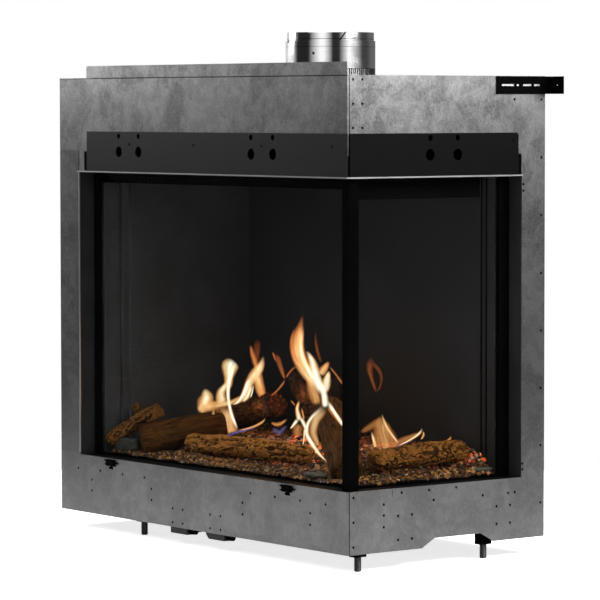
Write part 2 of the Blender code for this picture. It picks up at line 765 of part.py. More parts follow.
def build_panes(frame):
    """Make the tilting front pane and the fixed side pane, each with its black border."""
    left = OPENING_LEFT + PANE_SIDE_CLEARANCE
    side_face = BODY_WIDTH - PANE_SETBACK
    side_glass_back = side_face - BORDER_THICK - GAP - GLASS_THICK
    right = side_glass_back - 2 * GAP
    pivot = Vector((0, PANE_SETBACK + PIVOT_BEHIND, PIVOT_LEVEL))

    glass_front = PANE_SETBACK + BORDER_THICK + GAP
    outline = rectangle(left, PANE_BOTTOM, right, PANE_TOP)
    pane = front_prism(outline, glass_front, glass_front + GLASS_THICK)
    bmesh.ops.translate(pane, vec=-pivot, verts=pane.verts)
    new_object("front_glass", pane, ceramic_glass(), frame, pivot)

    border = front_prism(outline, PANE_SETBACK, PANE_SETBACK + BORDER_THICK)
    bmesh.ops.translate(border, vec=-pivot, verts=border.verts)
    border_obj = new_object("front_glass_border", border, black_steel(), frame, pivot)
    view = rectangle(left + BORDER_OUTER, PANE_BOTTOM + BORDER_BOTTOM,
                     right - BORDER_INNER, PANE_TOP - BORDER_TOP)
    hole = front_prism(view, PANE_SETBACK - OVERRUN, PANE_SETBACK + OVERRUN)
    bmesh.ops.translate(hole, vec=-pivot, verts=hole.verts)
    cut(border_obj, hole, "front_border_tool")

    front = POST_SETBACK + POST_DEPTH + GAP
    low = OPENING_BOTTOM - SILL_DROP + GAP
    high = HEADER_BOTTOM - GAP
    rear = OPENING_REAR - GAP
    outline = rectangle(front, low, rear, high)
    pane = side_prism(outline, side_glass_back, side_glass_back + GLASS_THICK)
    new_object("side_glass", pane, ceramic_glass(), frame)
    border_obj = new_object("side_glass_border", side_prism(outline, side_face - BORDER_THICK, side_face),
                            black_steel(), frame)
    view = rectangle(front + BORDER_INNER, low + BORDER_BOTTOM, rear - BORDER_REAR, high - BORDER_TOP)
    cut(border_obj, side_prism(view, side_face - OVERRUN, side_face + OVERRUN), "side_border_tool")


def build_firebox(frame):
    """Make the floor with its skirts, the liners, their folded returns and the ceiling."""
    mat = dark_liner()
    left = OPENING_LEFT + SHEET + GAP
    right = BODY_WIDTH - SILL_DEPTH + SHEET
    low = BASE_LEVEL + SHEET + GAP

    skirt = [
        (SKIRT_FRONT, low),
        (SKIRT_FRONT + SHEET, low),
        (SKIRT_FRONT + SHEET, FLOOR_TOP - SHEET),
        (SKIRT_REAR - SHEET, FLOOR_TOP - SHEET),
        (SKIRT_REAR - SHEET, low),
        (SKIRT_REAR, low),
        (SKIRT_REAR, FLOOR_TOP),
        (FLOOR_FRONT, FLOOR_TOP),
        (FLOOR_FRONT, FLOOR_TOP - SHEET),
        (SKIRT_FRONT, FLOOR_TOP - SHEET),
    ]
    floor = new_object("firebox_floor", side_prism(skirt, left, right), mat, frame)
    well = box((BURNER_LEFT - GAP, BURNER_FRONT - GAP, FLOOR_TOP - OVERRUN),
               (BURNER_LEFT + BURNER_LENGTH + GAP, BURNER_FRONT + BURNER_DEPTH + GAP, FLOOR_TOP + OVERRUN))
    cut(floor, well, "burner_well_tool")
    level = low + VALVE_HEIGHT / 2
    ends = (INLET_X, SKIRT_FRONT - OVERRUN, level), (INLET_X, SKIRT_FRONT + OVERRUN, level)
    cut(floor, cylinder(INLET_RADIUS + 2 * GAP, *ends), "skirt_hole_tool")

    foot = FLOOR_TOP + GAP
    seat = SILL_DEPTH + GAP
    run = [
        (left, seat),
        (FOLD_FACE, seat),
        (FOLD_FACE, FOLD_GROOVE),
        (FOLD_FACE - FOLD_GROOVE_DEPTH, FOLD_GROOVE),
        (FOLD_FACE - FOLD_GROOVE_DEPTH, FOLD_GROOVE + FOLD_GROOVE_WIDTH),
        (FOLD_SECOND, FOLD_GROOVE + FOLD_GROOVE_WIDTH),
        (FOLD_SECOND, LINER_LEFT_START - SHEET),
        (LINER_LEFT, LINER_LEFT_START - SHEET),
        (LINER_LEFT, LINER_BACK - GAP),
    ]
    new_object("firebox_left_liner", plan_prism(folded(run, SHEET), foot, LINER_TOP), mat, frame)

    fold_end = BODY_WIDTH - SILL_DEPTH - GAP - REAR_FOLD_WIDTH
    run = [
        (left, LINER_BACK),
        (fold_end, LINER_BACK),
        (fold_end, REAR_FOLD_FACE),
        (fold_end + REAR_FOLD_WIDTH, REAR_FOLD_FACE),
    ]
    liner = new_object("firebox_back_liner", plan_prism(folded(run, SHEET), foot, LINER_TOP), mat, frame)
    groove = box((fold_end - REAR_FOLD_GROOVE, LINER_BACK - OVERRUN, foot - OVERRUN),
                 (fold_end - REAR_FOLD_GROOVE + SHEET, LINER_BACK + SHEET / 2, LINER_TOP + OVERRUN))
    cut(liner, groove, "rear_groove_tool")

    plan = rectangle(left, HEADER_FRONT, BODY_WIDTH - HEADER_FRONT, OPENING_REAR - GAP)
    low = LINER_TOP + GAP
    ceiling = new_object("firebox_ceiling", plan_prism(plan, low, low + SHEET), mat, frame)
    ends = (FLUE_X, FLUE_Y, low - OVERRUN), (FLUE_X, FLUE_Y, low + OVERRUN)
    cut(ceiling, cylinder(FLUE_INNER_RADIUS - FLUE_WALL, *ends, ROUND_STEPS), "flue_outlet_tool")


def build_flue(frame):
    """Make the concentric flue: ribbed ring, stepped outer collar and inner pipe."""
    mat = bright_steel()
    place = (FLUE_X, FLUE_Y, 0)

    outline = []
    for i in range(2 * FLUE_RIB_COUNT):
        radius = FLUE_RING_RADIUS - (i % 2) * FLUE_RIB_DEPTH
        for edge in (0, 1):
            angle = math.tau * (i + edge) / (2 * FLUE_RIB_COUNT)
            outline.append((radius * math.cos(angle), radius * math.sin(angle)))
    low = BODY_HEIGHT + GAP
    ribbed = plan_prism(outline, low, low + FLUE_RING_HEIGHT)
    ring = new_object("flue_base_ring", ribbed, black_steel(), frame, place)
    bore = FLUE_SPIGOT_RADIUS - FLUE_WALL
    ends = (0, 0, low - OVERRUN), (0, 0, low + FLUE_RING_HEIGHT + OVERRUN)
    cut(ring, cylinder(bore, *ends, ROUND_STEPS), "ring_bore_tool")

    low += FLUE_RING_HEIGHT + GAP
    outer = FLUE_OUTER_RADIUS
    profile = [
        (bore, low),
        (outer, low),
        (outer, FLUE_BEAD_LEVEL - FLUE_BEAD),
        (outer - FLUE_BEAD, FLUE_BEAD_LEVEL),
        (outer, FLUE_BEAD_LEVEL + FLUE_BEAD),
        (outer, FLUE_STEP_LEVEL - FLUE_BEAD),
        (outer - FLUE_BEAD, FLUE_STEP_LEVEL),
        (FLUE_SPIGOT_RADIUS, FLUE_STEP_LEVEL),
        (FLUE_SPIGOT_RADIUS, FLUE_TOP),
        (bore, FLUE_TOP),
    ]
    new_object("flue_outer_collar", revolved(profile), mat, frame, place, smooth=True)

    foot = LINER_TOP + 2 * GAP + SHEET
    inner = FLUE_INNER_RADIUS - FLUE_WALL
    profile = [
        (inner, foot),
        (FLUE_INNER_RADIUS + FLUE_FOOT, foot),
        (FLUE_INNER_RADIUS + FLUE_FOOT, foot + FLUE_WALL),
        (FLUE_INNER_RADIUS, foot + FLUE_WALL),
        (FLUE_INNER_RADIUS, FLUE_INNER_TOP),
        (inner, FLUE_INNER_TOP),
    ]
    new_object("flue_inner_pipe", revolved(profile), mat, frame, place, smooth=True)


def burner_ports():
    """Return the burner's port places."""
    count = int((BURNER_LENGTH - BURNER_PORT_PITCH) / BURNER_PORT_PITCH)
    span = (count - 1) * BURNER_PORT_PITCH
    first = BURNER_LEFT + (BURNER_LENGTH - span) / 2
    rows = (BURNER_FRONT + BURNER_DEPTH / 3, BURNER_FRONT + 2 * BURNER_DEPTH / 3)
    return [(first + i * BURNER_PORT_PITCH, y) for i in range(count) for y in rows]


def build_gas_train(frame):
    """Make the burner tray, its feed, the valve with its knob, the inlet pipe and the pilot."""
    low = FLOOR_TOP - BURNER_DROP
    top = FLOOR_TOP + GAP + SHEET
    x0, x1 = BURNER_LEFT, BURNER_LEFT + BURNER_LENGTH
    y0, y1 = BURNER_FRONT, BURNER_FRONT + BURNER_DEPTH
    x_edge, y_edge = BURNER_FLANGE, BURNER_FLANGE
    profile = [
        (x0 + SHEET, low),
        (x1 - SHEET, low),
        (x1 - SHEET, FLOOR_TOP + GAP),
        (x1 + x_edge, FLOOR_TOP + GAP),
        (x1 + x_edge, top),
        (x0 - x_edge, top),
        (x0 - x_edge, FLOOR_TOP + GAP),
        (x0 + SHEET, FLOOR_TOP + GAP),
    ]
    tray = new_object("burner_tray", front_prism(profile, y0 + SHEET, y1 - SHEET), black_steel(), frame)
    hollow = box((x0 + 2 * SHEET, y0 + 2 * SHEET, low + SHEET),
                 (x1 - 2 * SHEET, y1 - 2 * SHEET, top - SHEET))
    cut(tray, hollow, "tray_hollow_tool")
    feed_x = VALVE_LEFT + VALVE_WIDTH / 2
    feed_y = VALVE_FRONT + VALVE_DEPTH / 2
    holes = [
        cylinder(BURNER_PORT_RADIUS, (x, y, top - 2 * SHEET), (x, y, top + OVERRUN), HOLE_STEPS // 2)
        for x, y in burner_ports()
    ]
    ends = (feed_x, feed_y, low - OVERRUN), (feed_x, feed_y, low + 2 * SHEET)
    holes.append(cylinder(FEED_RADIUS / 2, *ends))
    cut(tray, joined(*holes), "tray_port_tool")

    base = BASE_LEVEL + SHEET + GAP
    outline = [
        (VALVE_LEFT, base),
        (VALVE_LEFT + VALVE_WIDTH, base),
        (VALVE_LEFT + VALVE_WIDTH, base + VALVE_HEIGHT - KNOB_RADIUS / 2),
        (VALVE_LEFT + VALVE_WIDTH - KNOB_RADIUS / 2, base + VALVE_HEIGHT),
        (VALVE_LEFT, base + VALVE_HEIGHT),
    ]
    block = front_prism(outline, VALVE_FRONT, VALVE_FRONT + VALVE_DEPTH)
    valve = new_object("gas_valve", block, brass(), frame)

    feed_low = base + VALVE_HEIGHT / 2
    feed_high = low - GAP
    nut = base + VALVE_HEIGHT + FEED_RADIUS
    fitting = joined(
        cylinder(FEED_NUT_RADIUS, (feed_x, feed_y, feed_low), (feed_x, feed_y, nut), HEX_SIDES),
        cylinder(FEED_RADIUS, (feed_x, feed_y, feed_low + SHEET), (feed_x, feed_y, feed_high)),
    )
    unite(valve, fitting, "valve_fitting_tool")

    knob_x = VALVE_LEFT + VALVE_WIDTH / 2
    knob_z = base + VALVE_HEIGHT / 2
    knob_bm = cylinder(KNOB_RADIUS, (0, -KNOB_LENGTH, 0), (0, 0, 0))
    axis = (knob_x, VALVE_FRONT - GAP, knob_z)
    knob = new_object("valve_knob", knob_bm, black_steel(), frame, axis, smooth=True)
    rib_half = KNOB_RADIUS * KNOB_RIB_SHARE
    rib = box((-KNOB_RIB / 2, -KNOB_LENGTH - KNOB_RIB, -rib_half),
              (KNOB_RIB / 2, -KNOB_LENGTH / 2, rib_half))
    unite(knob, rib, "knob_rib_tool")

    level = base + VALVE_HEIGHT / 2
    corners = [
        (VALVE_LEFT - GAP, feed_y, level),
        (INLET_X, feed_y, level),
        (INLET_X, INLET_Y, level),
        (INLET_X, INLET_Y, -INLET_REACH),
    ]
    tube("gas_inlet_pipe", bent_path(corners, INLET_BEND), INLET_RADIUS, brass(), frame)


def bent_path(corners, radius, steps=6):
    """Round the inner corners of a run of points with even bends."""
    points = [Vector(corners[0])]
    for before, corner, after in zip(corners, corners[1:], corners[2:]):
        corner = Vector(corner)
        start = corner + (Vector(before) - corner).normalized() * radius
        end = corner + (Vector(after) - corner).normalized() * radius
        centre = start + end - corner
        for k in range(steps + 1):
            angle = math.pi / 2 * k / steps
            turn = (start - centre) * math.cos(angle) + (end - centre) * math.sin(angle)
            points.append(centre + turn)
    points.append(Vector(corners[-1]))
    return points


def tube(name, points, radius, mat, frame):
    """Make a round tube along points, as a bevelled curve with filled caps."""
    curve = bpy.data.curves.new(name, "CURVE")
    curve.dimensions = "3D"
    spline = curve.splines.new("POLY")
    spline.points.add(len(points) - 1)
    for point, place in zip(spline.points, points):
        point.co = (*place, 1)
    curve.bevel_depth = radius
    curve.bevel_resolution = 2
    curve.use_fill_caps = True
    curve.materials.append(mat)
    obj = bpy.data.objects.new(name, curve)
    bpy.context.scene.collection.objects.link(obj)
    obj.parent = frame
    return obj


def log_shape(start, end, radius_start, radius_end, bow, seed, grow=0.0):
    """Loft an uneven log between two points, grown outwards by a clearance."""
    source = random.Random(seed)
    phases = [source.uniform(0, math.tau) for _ in range(6)]
    start, end = Vector(start), Vector(end)
    axis = (end - start).normalized()
    side = axis.cross(Vector((0, 0, 1)))
    side = side.normalized() if side.length > LOG_ROUGHNESS_SHARE else Vector((1, 0, 0))
    over = side.cross(axis).normalized()
    start = start - axis * grow
    end = end + axis * grow
    bm = bmesh.new()
    rings = []
    for i in range(LOG_RINGS):
        t = i / (LOG_RINGS - 1)
        centre = start.lerp(end, t) + over * bow * math.sin(math.pi * t)
        radius = radius_start + (radius_end - radius_start) * t
        ring = []
        for k in range(LOG_SIDES):
            angle = math.tau * k / LOG_SIDES
            wave = math.sin(3 * angle + phases[0] + 2 * t) + math.sin(5 * angle + phases[1] - 5 * t)
            wave += math.sin(2 * angle + phases[2]) * math.sin(math.tau * t + phases[3])
            reach = radius * (1 + LOG_ROUGHNESS_SHARE * wave / 2) + grow
            ring.append(bm.verts.new(centre + (side * math.cos(angle) + over * math.sin(angle)) * reach))
        rings.append(ring)
    for low, high in zip(rings, rings[1:]):
        for k in range(LOG_SIDES):
            nxt = (k + 1) % LOG_SIDES
            bm.faces.new((low[k], low[nxt], high[nxt]))
            bm.faces.new((low[k], high[nxt], high[k]))
    bm.faces.new(rings[0][::-1])
    bm.faces.new(rings[-1])
    return bm


def stone_shape(size, seed, grow=0.0):
    """Return an uneven pebble, grown outwards by a clearance."""
    source = random.Random(seed)
    phases = [source.uniform(0, math.tau) for _ in range(3)]
    bm = bmesh.new()
    bmesh.ops.create_icosphere(bm, subdivisions=2, radius=1.0)
    for vert in bm.verts:
        direction = vert.co.normalized()
        wave = math.sin(3 * direction.x + phases[0]) * math.sin(4 * direction.y + phases[1])
        reach = size * (1 + LOG_ROUGHNESS_SHARE * (wave + math.sin(5 * direction.z + phases[2]))) + grow
        vert.co = Vector((direction.x, direction.y, direction.z * STONE_SQUASH_SHARE)) * reach
    return bm


# Each log: name, then for each end its shares of the casing's width and depth, of
# the fire's height and of the largest log radius, then the bow's share and a seed
LOG_SHARES = [
    ("log_front", (0.2700, 0.2870, 0.490, 0.670), (0.6450, 0.3610, 0.500, 0.600), 0.11, 11),
    ("log_large", (0.1850, 0.1640, 0.515, 1.000), (0.2650, 0.4838, 0.880, 0.920), 0.08, 12),
    ("log_slender", (0.1190, 0.1320, 0.610, 0.320), (0.2040, 0.2310, 1.270, 0.420), 0.08, 13),
    ("log_charred", (0.2217, 0.6047, 0.970, 0.810), (0.3921, 0.5704, 1.420, 0.830), 0.06, 14),
    ("log_tall", (0.5940, 0.5090, 0.780, 0.750), (0.4335, 0.6137, 2.110, 0.700), 0.11, 15),
    ("log_rear", (0.6480, 0.5650, 0.750, 0.720), (0.5966, 0.5686, 2.140, 0.670), 0.08, 16),
    ("log_leaning", (0.8720, 0.2010, 0.390, 1.030), (0.6985, 0.3700, 1.620, 0.970), 0.11, 17),
    ("log_side", (0.8590, 0.3340, 0.545, 0.710), (0.8898, 0.7760, 0.700, 0.650), 0.11, 18),
]

# What each leaning log is cut back to
LOG_RESTS = {
    "log_slender": ("log_large",),
    "log_charred": ("log_large",),
    "log_tall": ("log_leaning",),
    "log_rear": ("log_tall",),
    "log_side": ("log_leaning",),
}

# Each stone: name, its place, and a seed
STONE_LEVEL = OPENING_BOTTOM + STONE_RISE
STONE_ROW = SILL_DEPTH + STONE_PANE_GAP
STONES = [
    ("stone_left", (LINER_LEFT + STONE_WALL_GAP, STONE_ROW, STONE_LEVEL + STONE_LIFT), 21),
    ("stone_front", (BODY_WIDTH * STONE_FRONT_SHARE, STONE_ROW, STONE_LEVEL), 22),
    ("stone_side", (BODY_WIDTH - STONE_ROW, LINER_BACK - STONE_WALL_GAP, STONE_LEVEL), 23),
]


def log_end(shares):
    """Return the place and the radius of a log's end."""
    level = FLOOR_TOP + FIRE_HEIGHT * shares[2]
    return Vector((BODY_WIDTH * shares[0], BODY_DEPTH * shares[1], level)), LOG_RADIUS * shares[3]


def ramp(value):
    """Return a smooth step from 0 to 1."""
    t = min(max(value, 0), 1)
    return t * t * (3 - 2 * t)


def bed_height(x, y):
    """Return the ember bed's level at a place: low by the panes, high over the burner."""
    side_edge = BODY_WIDTH - SILL_DEPTH - x
    front_edge = y - SILL_DEPTH
    back_edge = LINER_BACK - y
    middle = ramp((front_edge - BED_FRONT_LEDGE) / BED_FRONT_SLOPE)
    middle *= ramp((side_edge - BED_SIDE_LEDGE) / BED_SIDE_SLOPE)
    corner = ramp((BED_CORNER_INSET - back_edge) / BED_CORNER_SLOPE) * ramp(side_edge / BED_EDGE_SLOPE)
    level = OPENING_BOTTOM + BED_LOW_RISE + (BED_HIGH_RISE - BED_LOW_RISE) * max(middle, corner)
    heap = ((x - HEAP_X) ** 2 + (y - HEAP_Y) ** 2) / HEAP_RADIUS ** 2
    level += HEAP_HEIGHT * ramp(1 - heap)
    wave = math.sin(x / BED_WAVE) * math.cos(y / BED_WAVE)
    wave += math.sin((x + y) / BED_WAVE / 2)
    return level + BED_BUMP * wave / 3


def bed_shape():
    """Return the ember bed as a closed block with an uneven, rising top."""
    x0 = LINER_LEFT + GAP
    x1 = BODY_WIDTH - SILL_DEPTH - GAP
    y0 = SILL_DEPTH + GAP
    y1 = REAR_FOLD_FACE - GAP
    bottom = FLOOR_TOP + 2 * GAP + SHEET
    columns, rows = BED_COLUMNS, BED_ROWS
    bm = bmesh.new()
    grid = []
    for j in range(rows + 1):
        y = y0 + (y1 - y0) * j / rows
        grid.append([])
        for i in range(columns + 1):
            x = x0 + (x1 - x0) * i / columns
            grid[-1].append(bm.verts.new((x, y, bed_height(x, y))))
    for j in range(rows):
        for i in range(columns):
            bm.faces.new((grid[j][i], grid[j][i + 1], grid[j + 1][i + 1], grid[j + 1][i]))
    edges = [e for e in bm.edges if e.is_boundary]
    grown = bmesh.ops.extrude_edge_only(bm, edges=edges)
    lower = [g for g in grown["geom"] if isinstance(g, bmesh.types.BMVert)]
    for vert in lower:
        vert.co.z = bottom
    rim = [g for g in grown["geom"] if isinstance(g, bmesh.types.BMEdge) and g.is_boundary]
    bmesh.ops.contextual_create(bm, geom=rim)
    return bm


def build_fuel(frame):
    """Make the ember bed, the ceramic logs and the stones, each seated on what carries it."""
    bed = new_object("ember_bed", bed_shape(), embers(), frame)
    shapes = {}
    for name, low, high, bow_share, seed in LOG_SHARES:
        start, radius_start = log_end(low)
        end, radius_end = log_end(high)
        shapes[name] = (start, end, radius_start, radius_end, LOG_RADIUS * bow_share, seed)
    for name, shape in shapes.items():
        log = new_object(name, log_shape(*shape), bark(), frame, smooth=True)
        cut(bed, log_shape(*shape, grow=SEAT_GAP), name + "_seat_tool")
        for other in LOG_RESTS.get(name, ()):
            cut(log, log_shape(*shapes[other], grow=SEAT_GAP), name + "_on_" + other + "_tool")
    for name, place, seed in STONES:
        pebble = stone_shape(STONE_SIZE, seed)
        bmesh.ops.translate(pebble, vec=place, verts=pebble.verts)
        new_object(name, pebble, stone(), frame, smooth=True)
        pocket = stone_shape(STONE_SIZE, seed, grow=SEAT_GAP)
        bmesh.ops.translate(pocket, vec=place, verts=pocket.verts)
        cut(bed, pocket, name + "_seat_tool")


def foot_places():
    """Return the places of the feet: left front, right front, left rear, right rear."""
    right = BODY_WIDTH - FOOT_RIGHT_INSET
    return [(x, y) for y in (FOOT_FRONT_Y, FOOT_REAR_Y) for x in (FOOT_LEFT_X, right)]


def build_feet(frame):
    """Make the foot blocks under the base and the studs that screw down from them."""
    names = ("left_front", "right_front", "left_rear", "right_rear")
    top = BASE_LEVEL - GAP
    half_x, half_y = FOOT_BLOCK_WIDTH / 2, FOOT_BLOCK_DEPTH / 2
    for name, (x, y) in zip(names, foot_places()):
        outline = rectangle(-half_x, -half_y, half_x, half_y)
        shape = plan_prism(outline, -FOOT_BLOCK_BOTTOM, top)
        block = new_object("foot_block_" + name, shape, black_steel(), frame, (x, y, 0))
        bore = (0, 0, -FOOT_BLOCK_BOTTOM - OVERRUN), (0, 0, top + OVERRUN)
        cut(block, cylinder(FOOT_RADIUS + FOOT_CLEARANCE, *bore), "foot_bore_tool_" + name)
        rim = FOOT_RADIUS - FOOT_CHAMFER
        profile = [(0, 0), (rim, 0), (FOOT_RADIUS, FOOT_CHAMFER), (FOOT_RADIUS, FOOT_LENGTH - FOOT_CHAMFER),
                   (rim, FOOT_LENGTH), (0, FOOT_LENGTH)]
        stud = revolved(profile, HOLE_STEPS)
        new_object("foot_stud_" + name, stud, black_steel(), frame, (x, y, -FOOT_DROP), smooth=True)


def build_boxes(frame):
    """Make the two connection boxes under the base, each with its cable gland."""
    top = BASE_LEVEL - GAP
    left = (LEFT_BOX_X, LEFT_BOX_WIDTH, LEFT_BOX_DEPTH, LEFT_GLAND_LENGTH, 0)
    right = (RIGHT_BOX_X, RIGHT_BOX_WIDTH, RIGHT_BOX_DEPTH, RIGHT_GLAND_LENGTH, BOX_CHAMFER)
    rows = (("left_connection_box", *left), ("right_connection_box", *right))
    for name, x, width, depth, gland, chamfer in rows:
        chamfer = max(chamfer, SHEET)
        outline = [
            (x + chamfer, -BOX_BOTTOM),
            (x + width, -BOX_BOTTOM),
            (x + width, top),
            (x, top),
            (x, -BOX_BOTTOM + chamfer),
        ]
        back = BOX_FRONT + depth
        shell = new_object(name, front_prism(outline, BOX_FRONT, back), black_steel(), frame)
        gland_x = x + width - 2 * GLAND_RADIUS
        ends = (gland_x, back - depth / 2, -GLAND_LEVEL), (gland_x, back + gland, -GLAND_LEVEL)
        unite(shell, cylinder(GLAND_RADIUS, *ends), name + "_gland_tool")


def build_catches(frame):
    """Make the two sprung catches that carry the front pane's lower edge."""
    for name, x in zip(("left_pane_catch", "right_pane_catch"), catch_places()):
        half = CATCH_WIDTH / 2
        wing = CATCH_WING_HEIGHT / 2
        tip = half + CATCH_WING
        level = CATCH_HEIGHT / 2
        outline = [
            (-half, -level),
            (half, -level),
            (half, -wing),
            (tip, -wing / 2),
            (tip, wing / 2),
            (half, wing),
            (half, level),
            (-half, level),
            (-tip, level - wing / 2),
            (-tip, level - wing),
            (-half, level - 3 * wing),
            (-half, -wing),
            (-tip, -wing - wing / 2),
            (-tip, -2 * wing),
            (-half, -level + wing / 2),
        ]
        plate = front_prism(outline, -GAP - CATCH_WING_THICK, -GAP)
        catch = new_object(name, plate, black_steel(), frame, (x, 0, CATCH_LEVEL))
        body_half = half * CATCH_BODY_WIDTH_SHARE
        body_level = level * CATCH_BODY_HEIGHT_SHARE
        body = box((-body_half, -GAP - CATCH_THICK, -body_level),
                   (body_half, -GAP - CATCH_WING_THICK / 2, body_level))
        unite(catch, body, name + "_body_tool")


def build_brackets(frame):
    """Make the slotted wall brackets that slide back from the casing's upper rear corners."""
    rear = BODY_DEPTH + BRACKET_REACH
    low = BRACKET_TOP - BRACKET_HEIGHT
    middle = BRACKET_TOP - BRACKET_HEIGHT / 2
    for name, side in (("right_wall_bracket", 1), ("left_wall_bracket", -1)):
        face = BODY_WIDTH + GAP if side > 0 else -GAP
        outer = face + side * BRACKET_THICK
        tip = outer + side * BRACKET_FLANGE
        outline = [
            (face, BRACKET_FRONT),
            (outer, BRACKET_FRONT),
            (outer, rear - BRACKET_THICK),
            (tip, rear - BRACKET_THICK),
            (tip, rear),
            (face, rear),
        ]
        bracket = new_object(name, plan_prism(outline, low, BRACKET_TOP), black_steel(), frame)
        tools = []
        half = BRACKET_SLOT_LENGTH / 2
        for i in range(2):
            y = BRACKET_FRONT + BRACKET_SLOT_INSET + i * BRACKET_SLOT_PITCH
            rise = BRACKET_SLOT_HEIGHT / 2
            slot = rectangle(y - half, middle - rise, y + half, middle + rise)
            ends = sorted((face - side * OVERRUN, outer + side * OVERRUN))
            tools.append(side_prism(round_corners(slot, rise - GAP / 2), *ends))
        hole_x = outer + side * BRACKET_FLANGE * BRACKET_HOLE_SHARE
        ends = (hole_x, rear - OVERRUN, middle), (hole_x, rear + OVERRUN, middle)
        tools.append(cylinder(BRACKET_HOLE_RADIUS, *ends, HOLE_STEPS // 2))
        cut(bracket, joined(*tools), name + "_slot_tool")


def main():
    clear_scene()
    frame = casing_frame()
    build_casing(frame)
    build_rails(frame)
    build_reveals(frame)
    build_panes(frame)
    build_firebox(frame)
    build_flue(frame)
    build_gas_train(frame)
    build_fuel(frame)
    build_feet(frame)
    build_boxes(frame)
    build_catches(frame)
    build_brackets(frame)


main()
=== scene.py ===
"""Corner gas fireplace insert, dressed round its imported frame.

Places inside the casing are measured in metres from its left side, its front
face and its lower edge, as a maker's drawing gives them. Casing.at() turns
such a place into the row frame.
"""

import logging
import math
import random
from dataclasses import dataclass
from enum import Enum
from functools import cache
from typing import Iterable, Sequence

import bmesh
import bpy
from bmesh.types import BMesh, BMVert
from bpy.types import Material, Mesh, Node, NodeSocket, NodeTree, Object
from mathutils import Matrix, Vector, noise
from mathutils.bvhtree import BVHTree


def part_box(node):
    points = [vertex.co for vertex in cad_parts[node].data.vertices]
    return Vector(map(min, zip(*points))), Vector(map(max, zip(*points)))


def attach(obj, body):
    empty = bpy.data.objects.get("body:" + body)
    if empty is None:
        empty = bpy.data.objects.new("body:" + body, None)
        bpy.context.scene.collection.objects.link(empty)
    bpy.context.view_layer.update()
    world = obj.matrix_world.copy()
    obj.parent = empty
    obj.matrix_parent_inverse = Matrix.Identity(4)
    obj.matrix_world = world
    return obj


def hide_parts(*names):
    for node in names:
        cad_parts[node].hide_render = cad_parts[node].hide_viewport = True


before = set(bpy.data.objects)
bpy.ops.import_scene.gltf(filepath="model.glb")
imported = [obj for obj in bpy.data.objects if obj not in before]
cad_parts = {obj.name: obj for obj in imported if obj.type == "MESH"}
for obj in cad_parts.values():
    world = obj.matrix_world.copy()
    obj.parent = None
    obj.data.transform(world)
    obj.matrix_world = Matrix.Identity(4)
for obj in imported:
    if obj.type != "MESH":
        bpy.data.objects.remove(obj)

LOGGER = logging.getLogger("fireplace")
CASING_BODY = "casing"

Flat = tuple[float, float]
Place = tuple[float, float, float]
Four = tuple[float, float, float, float]


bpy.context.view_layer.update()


@dataclass(frozen=True)
class Casing:
    """The casing's edges in the row frame, read from its sheets."""

    left: float
    front: float
    low: float
    width: float
    depth: float
    height: float

    @classmethod
    def measure(cls) -> "Casing":
        """Read the casing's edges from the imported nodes.

        Returns:
            The casing as it stands in the row frame.
        """
        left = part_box("left_side_panel")[0].x
        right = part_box("right_side_panel")[1].x
        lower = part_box("front_lower_panel")[0]
        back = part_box("back_panel")[1].y
        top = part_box("top_plate")[1].z
        return cls(left, lower.y, lower.z, right - left, back - lower.y, top - lower.z)

    def at(self, x: float, y: float, z: float) -> Vector:
        """Return the row frame's place for a place in the casing."""
        return Vector((self.left + x, self.front + y, self.low + z))


CASING = Casing.measure()


class Side(Enum):
    """Which way a detail on the casing faces."""

    FRONT = (0, -1, 0)
    RIGHT = (1, 0, 0)
    LEFT = (-1, 0, 0)
    BACK = (0, 1, 0)
    TOP = (0, 0, 1)

    @property
    def normal(self) -> Vector:
        """Return the outward direction."""
        return Vector(self.value)


# Wiring of shader and geometry trees


class Wiring:
    """Adds nodes to a tree and joins them, one call for each node."""

    def __init__(self, tree: NodeTree) -> None:
        """Keep the tree that is being wired."""
        self.tree = tree

    def fill(self, node: Node, inputs: dict) -> None:
        """Set or link several inputs of a node.

        Args:
            node: The node.
            inputs: Values, sockets or nodes by input name or number. A node stands for its first output.
        """
        for key, value in inputs.items():
            if isinstance(value, Node):
                value = value.outputs[0]
            if isinstance(value, NodeSocket):
                self.tree.links.new(value, node.inputs[key])
            else:
                node.inputs[key].default_value = value

    def add(self, kind: str, inputs: dict | None = None, **settings: object) -> Node:
        """Add a node and fill its inputs.

        Args:
            kind: The node's type name.
            inputs: Values, sockets or nodes by input name or number.
            settings: Attributes of the node itself.
        Returns:
            The new node.
        """
        node = self.tree.nodes.new(kind)
        for key, value in settings.items():
            setattr(node, key, value)
        self.fill(node, inputs or {})
        return node

    def math(self, operation: str, first: object, second: object = 0.0, clamp: bool = False) -> Node:
        """Return a node that calculates with one or two values."""
        return self.add("ShaderNodeMath", {0: first, 1: second}, operation=operation, use_clamp=clamp)

    def blend(self, factor: object, first: object, second: object) -> NodeSocket:
        """Return the mix of two colours."""
        return self.add("ShaderNodeMix", {0: factor, 6: first, 7: second}, data_type="RGBA").outputs[2]

    def spread(self, value: object, low: float, high: float, to_low: float, to_high: float) -> Node:
        """Return a value mapped from one range to another."""
        return self.add("ShaderNodeMapRange", {0: value, 1: low, 2: high, 3: to_low, 4: to_high})

    def between(self, mask: object, low: float, high: float) -> Node:
        """Return a value that runs from low to high as a mask runs from 0 to 1."""
        return self.spread(mask, 0.0, 1.0, low, high)

    def ramp(self, factor: object, stops: Sequence[tuple[float, Place]]) -> Node:
        """Colour a value.

        Args:
            factor: The value, from 0 to 1.
            stops: Rows of position and colour.
        Returns:
            The colour ramp.
        """
        node = self.add("ShaderNodeValToRGB", {0: factor})
        steps = node.color_ramp.elements
        while len(steps) < len(stops):
            steps.new(1.0)
        for step, (position, colour) in zip(steps, stops):
            step.position = position
            step.color = (*colour, 1.0)
        return node


